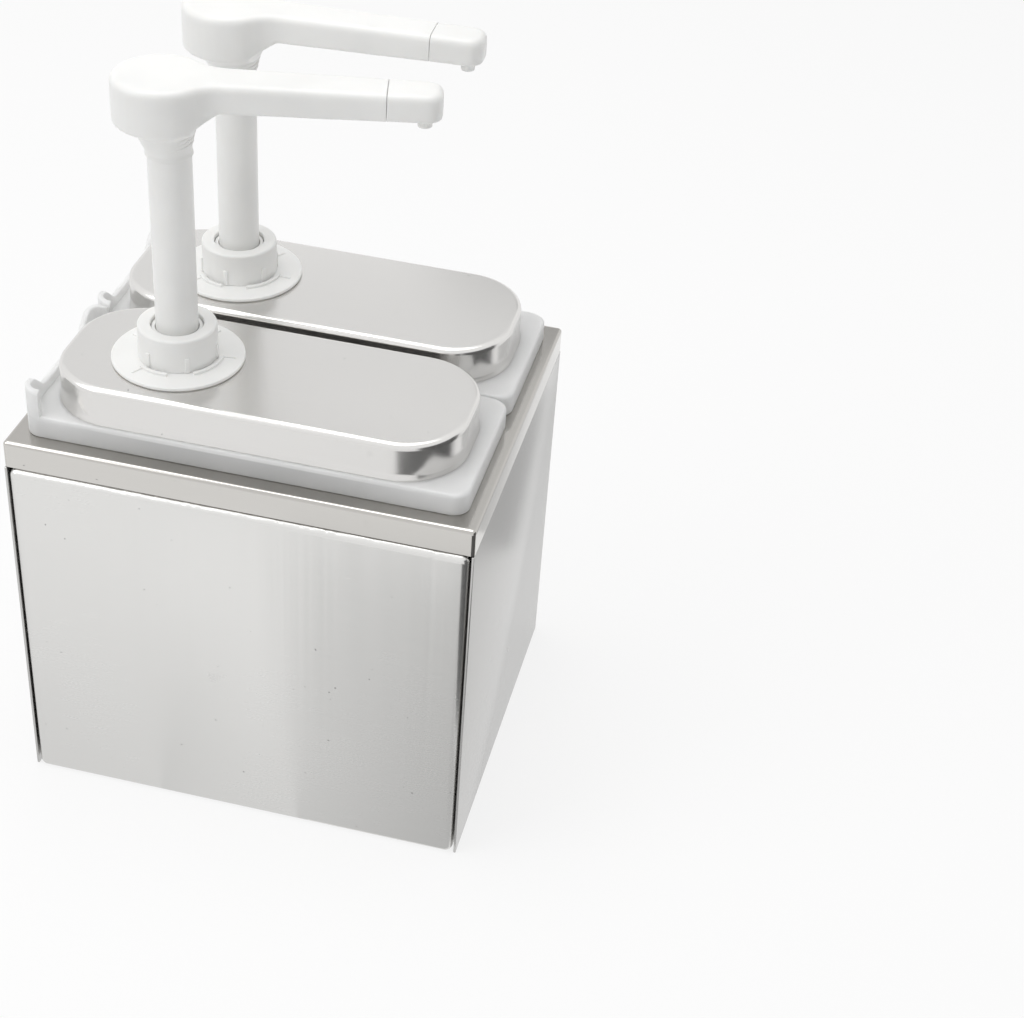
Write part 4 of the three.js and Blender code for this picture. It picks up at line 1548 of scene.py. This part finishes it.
@dataclass
class Spout:
    """The swivelling head: drum, neck and spout in one, and the tip past the seam."""

    drum_radius: float = 22.5
    drum_back: float = 2.0
    drum_height: float = 21.3
    cone: float = 5.5
    edge: float = 3.4
    edge_steps: int = 8
    blend: float = 18.0
    arc_steps: int = 12
    half_width: float = 11.0
    tip_half_width: float = 10.0
    reach: float = 120.5
    tip_corner: float = 7.0
    height: float = 13.5
    tip_height: float = 12.5
    slope_start: float = 12.4
    slope_end: float = 23.7
    slope_rise: float = 6.3
    cut_half: float = 30.0
    overrun: float = 2.0
    overlap: float = 1.0
    neck_top: float = 13.3
    neck_foot: float = 10.4
    neck_bore: float = 8.5
    neck_lean: float = 1.8
    foot_proud: float = 0.4
    foot_height: float = 0.8
    flare_steps: int = 8
    flare_power: float = 1.6
    ridges: tuple[tuple[float, float], ...] = ((0.42, 11.2), (0.62, 11.6), (0.82, 12.2))
    ridge_root: float = 9.0
    ridge_half: float = 0.6
    ridge_crest: float = 0.4
    ridge_edge: float = 0.15
    ridge_slant: float = math.radians(-9)
    seam: float = 96.0
    seam_gap: float = 0.2
    seam_edge: float = 0.25
    outlet_setback: float = 7.8
    outlet_radius: float = 3.3
    outlet_bore: float = 2.1
    outlet_drop: float = 5.5
    outlet_depth: float = 4.0
    outlet_steps: int = 48
    voxel: float = 0.6
    smoothing: int = 12
    sharp: float = math.radians(50)

    def __post_init__(self) -> None:
        """Reads the heights from the CAD node."""
        low, high = extent(Place.FRONT.name_of("head"))
        self.top, self.foot = high.z, low.z
        self.drum_z = self.top - self.drum_height
        self.neck_z = self.drum_z - self.cone

    def build(self) -> None:
        """Makes the whole head once and places its two pieces on each pump."""
        whole = self.shell().combine(self.under_cone()).combine(self.under_cut(), Combine.DIFFERENCE)
        whole.remesh(self.voxel)
        whole.smooth(self.smoothing)
        head = whole.copy()
        head.cut_at(self.seam, keep_low=True, soft=self.seam_edge)
        head.combine(self.neck())
        tip = whole.copy()
        tip.cut_at(self.seam + self.seam_gap, keep_low=False, soft=self.seam_edge)
        tip.combine(self.outlet())
        slot = "pump_plastic"
        for place in Place:
            axis = middle_of(place.name_of("stem"))
            for source, part, node in ((head, "head_moulding", "head"), (tip, "spout_tip", "nozzle_tip")):
                piece = source.copy().rotate(math.radians(TURNS[place].head)).move(axis.x, axis.y)
                name, body, node = (place.name_of(word) for word in (part, "spout", node))
                piece.finish(name, body, slot, FINISHES[slot], [node], self.sharp)

    def shell(self) -> Shaper:
        """Drum and spout as one block with the outline of a keyhole and a round top edge.

        Returns:
            The block.
        """
        shaper = Shaper()
        mesh = shaper.mesh
        rise = self.half_width + self.blend
        blend_x = math.sqrt((self.drum_radius + self.blend) ** 2 - rise ** 2)
        join = math.atan2(rise, blend_x)
        tip_y = self.tip_half_width - self.tip_corner

        def arc(vert: BMVert, x: float, y: float, angle: float) -> BMVert:
            """Carries the outline round a centre.

            Args:
                vert: Its last vertex.
                x: The centre's X.
                y: The centre's Y.
                angle: How far it goes round.

            Returns:
                Its new last vertex.
            """
            made = bmesh.ops.spin(
                mesh, geom=[vert], cent=(x, y, self.drum_z), axis=(0, 0, 1), dvec=(0, 0, 0), angle=angle,
                steps=self.arc_steps, use_merge=False,
            )
            return made["geom_last"][0]

        def straight(vert: BMVert, x: float, y: float) -> BMVert:
            """Carries the outline straight on to a point.

            Args:
                vert: Its last vertex.
                x: The point's X.
                y: The point's Y.

            Returns:
                Its new last vertex.
            """
            made = bmesh.ops.extrude_vert_indiv(mesh, verts=[vert])["verts"][0]
            made.co = (x, y, self.drum_z)
            return made

        vert = mesh.verts.new((self.reach, 0, self.drum_z))
        vert = straight(vert, self.reach, tip_y)
        vert = arc(vert, self.reach - self.tip_corner, tip_y, QUARTER)
        vert = straight(vert, blend_x - self.drum_back, self.half_width)
        vert = arc(vert, blend_x - self.drum_back, rise, join - QUARTER)
        arc(vert, -self.drum_back, 0, math.pi - join)
        bmesh.ops.mirror(mesh, geom=mesh.verts[:] + mesh.edges[:], axis="Y", merge_dist=MERGE)
        bmesh.ops.remove_doubles(mesh, verts=mesh.verts, dist=WELD)
        face = bmesh.ops.contextual_create(mesh, geom=mesh.edges[:])["faces"]
        shaper.extrude(face, (0, 0, self.drum_height))
        upper = [edge for edge in mesh.edges if all(v.co.z > self.top - MERGE for v in edge.verts)]
        shaper.round(upper, self.edge, self.edge_steps)
        return shaper

    def under_cone(self) -> Shaper:
        """The cone under the drum, leaning back to the drum's own centre.

        Returns:
            The cone.
        """
        low, high = self.neck_z - self.overlap, self.drum_z + self.overlap
        shaper = Shaper().turn([
            (0, low), (self.neck_top - self.overlap / 2, low), (self.neck_top, self.neck_z),
            (self.drum_radius, self.drum_z), (self.drum_radius, high), (0, high),
        ])
        for vert in shaper.mesh.verts:
            share = clamped((vert.co.z - self.neck_z) / self.cone)
            vert.co.x -= self.neck_lean + share * (self.drum_back - self.neck_lean)
        return shaper

    def under_cut(self) -> Shaper:
        """The space under the spout and its slope up from the drum.

        Returns:
            The space as a solid.
        """
        shaper = Shaper()
        far, low = self.reach + self.overrun, self.neck_z - self.overrun
        profile = [
            (self.slope_start, low), (far, low), (far, self.top - self.tip_height),
            (self.slope_end, self.top - self.height), (self.slope_start, self.neck_z + self.slope_rise),
        ]
        verts = [shaper.mesh.verts.new((x, -self.cut_half, z)) for x, z in profile]
        shaper.extrude([shaper.mesh.faces.new(verts)], (0, 2 * self.cut_half, 0))
        return shaper

    def outlet(self) -> Shaper:
        """The small nub under the tip that the sauce leaves by.

        Returns:
            The nub, which reaches into the tip.
        """
        under = self.top - self.tip_height
        foot, top = under - self.outlet_drop, under + self.overrun
        end = foot + self.outlet_depth
        shaper = Shaper().turn([
            (self.outlet_bore, foot, 0.3), (self.outlet_radius, foot, 0.6), (self.outlet_radius, top),
            (0, top), (0, end), (self.outlet_bore, end),
        ], self.outlet_steps)
        return shaper.move(x=self.reach - self.outlet_setback)

    def neck(self) -> Shaper:
        """The sleeve below the drum: a foot ring, a flare that leans back, and ridges in front.

        Returns:
            The sleeve, which reaches into the drum's cone.
        """
        height, lip = self.neck_z - self.foot, self.neck_foot + self.foot_proud
        flare: list[tuple] = []
        for step in range(1, self.flare_steps + 1):
            share = step / self.flare_steps
            widening = (self.neck_top - self.neck_foot) * share ** self.flare_power
            flare.append((self.neck_foot + widening, self.foot + height * share))
        end = self.neck_z + self.overlap
        shaper = Shaper().turn([
            (self.neck_bore, self.foot), (lip, self.foot, 0.2), (lip, self.foot + self.foot_height, 0.3),
            *flare, (self.neck_top - self.overlap, end), (self.neck_bore, end),
        ])
        for vert in shaper.mesh.verts:
            vert.co.x -= self.neck_lean * min((vert.co.z - self.foot) / height, 1.0)
        root, half, crest, edge = self.ridge_root, self.ridge_half, self.ridge_crest, self.ridge_edge
        for share, radius in self.ridges:
            section = [(root, -half), (radius, -crest, edge), (radius, crest, edge), (root, half)]
            ridge = Shaper().turn(section)
            shaper.combine(ridge.rotate(self.ridge_slant, "Y").move(z=self.foot + height * share))
        return shaper


# Studio


def flat_sheet(
    name: str,
    size: Sequence[float],
    material: bpy.types.Material,
    shear: float = 0.0,
) -> bpy.types.Object:
    """Adds a flat sheet to the stage.

    Args:
        name: Its name.
        size: Its length and width in metres.
        material: What it is dressed in.
        shear: How far it leans towards X for each metre of Y.

    Returns:
        The sheet, level and at the origin.
    """
    mesh = bmesh.new()
    bmesh.ops.create_grid(mesh, x_segments=1, y_segments=1, size=0.5)
    bmesh.ops.scale(mesh, vec=(*size, 1), verts=mesh.verts)
    for vert in mesh.verts:
        vert.co.x += shear * vert.co.y
    sheet = add_object(name, mesh_data(mesh, name))
    mesh.free()
    sheet.data.materials.append(material)
    return sheet


@dataclass(frozen=True)
class Card:
    """A grey card beside the object, seen in reflections only.

    Its brightness runs from near, at its lower X, to far. The card may be sheared, so that its
    edge runs along the reflected line of sight, and fade is the share of its brightness left at
    its upper Y.
    """

    name: str
    place: Point
    size: tuple[float, float]
    near: float
    far: float
    tilt: float = 0.0
    turn: float = 0.0
    shear: float = 0.0
    fade: float = 1.0

    def build(self) -> None:
        """Makes the card and its even or graded brightness."""
        material, tree = new_material(self.name)
        across, along = tree.along("X"), tree.along("Y")
        share = across.between(-self.size[0] / 2, self.size[0] / 2)
        fading = 1.0 - along.between(-self.size[1] / 2, self.size[1] / 2) * (1.0 - self.fade)
        strength = (share * (self.far - self.near) + self.near) * fading
        tree.end(tree.add("ShaderNodeEmission", None, {"Strength": strength}))
        card = flat_sheet(self.name, self.size, material, self.shear)
        card.location = self.place
        card.rotation_euler = (self.tilt, 0.0, self.turn)
        card.visible_camera = card.visible_diffuse = card.visible_transmission = False
        card.visible_shadow = False


@dataclass
class Studio:
    """Floor, soft light and camera."""

    floor_size: float = 6.0
    floor_grey: float = 0.92
    floor_glow: float = 0.78
    world_light: float = 0.55
    aim: Point = (0.0, 0.0, 0.2)
    lens: float = 68.25
    film: float = 36.0
    sight: float = 20.0
    camera_place: Point = (258.45, -779.9, 736.23)
    azimuth: float = 10.56
    pitch: float = 36.3
    roll: float = 4.44
    shear: float = 0.36
    back_tilt: float = math.radians(50)

    def build(self) -> None:
        """Makes the floor, the world, the lamps, the cards and the camera."""
        bpy.context.scene.view_settings.view_transform = "Standard"
        self.floor()
        self.world()
        self.lamp("top", (-0.2, 0.1, 2.2), 1.6, 18.6)
        self.lamp("key", (-1.3, -1.0, 1.5), 1.2, 8.8)
        for card in self.cards():
            card.build()
        self.camera()

    def cards(self) -> list[Card]:
        """The cards that shade the floor, the right side and the space behind in the steel.

        Returns:
            The cards: name, middle, size, brightness at both ends and how each one lies.
        """
        shear, back = self.shear, self.back_tilt
        return [
            Card("card_front", (-0.242, -0.2, 1 * MM), (0.46, 0.24), 1.0, 1.0, shear=shear, fade=0.83),
            Card("card_column", (-0.042, -0.2, 1.5 * MM), (0.08, 0.24), 1.06, 1.16, shear=shear, fade=0.70),
            Card("card_right", (0.068, -0.213, 2 * MM), (0.16, 0.234), 0.77, 0.57, shear=shear),
            Card("card_dark", (0.30, -0.235, 2 * MM), (0.28, 0.50), 0.14, 0.10, shear=shear),
            Card("card_side", (0.42, -0.22, 0.18), (0.56, 0.36), 0.12, 0.12, tilt=QUARTER, turn=QUARTER),
            Card("card_behind", (-0.45, 1.3, 1.35), (2.2, 2.0), 0.86, 0.88, tilt=back),
            Card("card_ledge", (0.10, 1.22, 1.05), (0.5, 1.4), 0.60, 0.60, tilt=back),
            Card("card_end", (0.335, 0.285, 2 * MM), (0.33, 0.23), 0.60, 0.60),
        ]

    def seen_directly(self, tree: Tree) -> Value:
        """Tells the rays that see the plain background from the rest.

        Args:
            tree: The tree that needs to know.

        Returns:
            1 for camera, glossy and transmission rays, otherwise 0.
        """
        kinds = ("Is Camera Ray", "Is Glossy Ray", "Is Transmission Ray")
        camera, glossy, through = (tree.add("ShaderNodeLightPath", out=kind) for kind in kinds)
        return camera.larger(glossy).larger(through)

    def floor(self) -> None:
        """The pale floor, white where it is seen and with the object's shadow kept."""
        material, tree = new_material("floor_white")
        grey = (self.floor_grey, self.floor_grey, self.floor_grey, 1.0)
        plain = tree.add("ShaderNodeBsdfDiffuse", None, {"Color": grey})
        bright = tree.add("ShaderNodeEmission", None, {"Color": WHITE, "Strength": 1.0})
        share = self.seen_directly(tree) * self.floor_glow
        tree.end(tree.add("ShaderNodeMixShader", None, {0: share, 1: plain, 2: bright}))
        flat_sheet("floor", (self.floor_size, self.floor_size), material)

    def world(self) -> None:
        """Plain light all round, white where it is seen directly."""
        world = bpy.data.worlds.new("studio")
        world.use_nodes = True
        bpy.context.scene.world = world
        tree = Tree(world.node_tree)
        strength = self.seen_directly(tree) * (1 - self.world_light) + self.world_light
        light = tree.add("ShaderNodeBackground", None, {"Color": WHITE, "Strength": strength})
        tree.end(light, "ShaderNodeOutputWorld")

    def lamp(self, name: str, place: Point, size: float, power: float) -> None:
        """Adds a square soft lamp that looks at the object's middle.

        Args:
            name: Its name.
            place: Where it stands, in metres.
            size: The length of its sides, in metres.
            power: Its power in watts.
        """
        data = bpy.data.lights.new(name, "AREA")
        data.size = size
        data.energy = power
        lamp = add_object(name, data)
        lamp.location = place
        lamp.rotation_euler = (Vector(self.aim) - lamp.location).to_track_quat("-Z", "Y").to_euler()

    def camera(self) -> None:
        """The camera at the photograph's viewing angle."""
        turn, dip, roll = (math.radians(angle) for angle in (self.azimuth, self.pitch, self.roll))
        ahead = Vector((-math.sin(turn) * math.cos(dip), math.cos(turn) * math.cos(dip), -math.sin(dip)))
        right = Vector((math.cos(turn), math.sin(turn), 0))
        up = right.cross(ahead)
        across = right * math.cos(roll) + up * math.sin(roll)
        upright = up * math.cos(roll) - right * math.sin(roll)
        data = bpy.data.cameras.new("camera")
        data.lens, data.sensor_width, data.clip_end = self.lens, self.film, self.sight
        camera = add_object("camera", data)
        matrix = Matrix((across, upright, -ahead)).transposed().to_4x4()
        matrix.translation = Vector(self.camera_place) * MM
        camera.matrix_world = matrix
        bpy.context.scene.camera = camera


def main() -> None:
    """Builds the studio and every sub-assembly in order."""
    logging.basicConfig(level=logging.INFO, format="%(name)s: %(message)s")
    Studio().build()
    Housing().build()
    for place in Place:
        Jar(place).build()
        Lid(place).build()
        Pump(place).build()
    Spout().build()


if __name__ == "__main__":
    main()
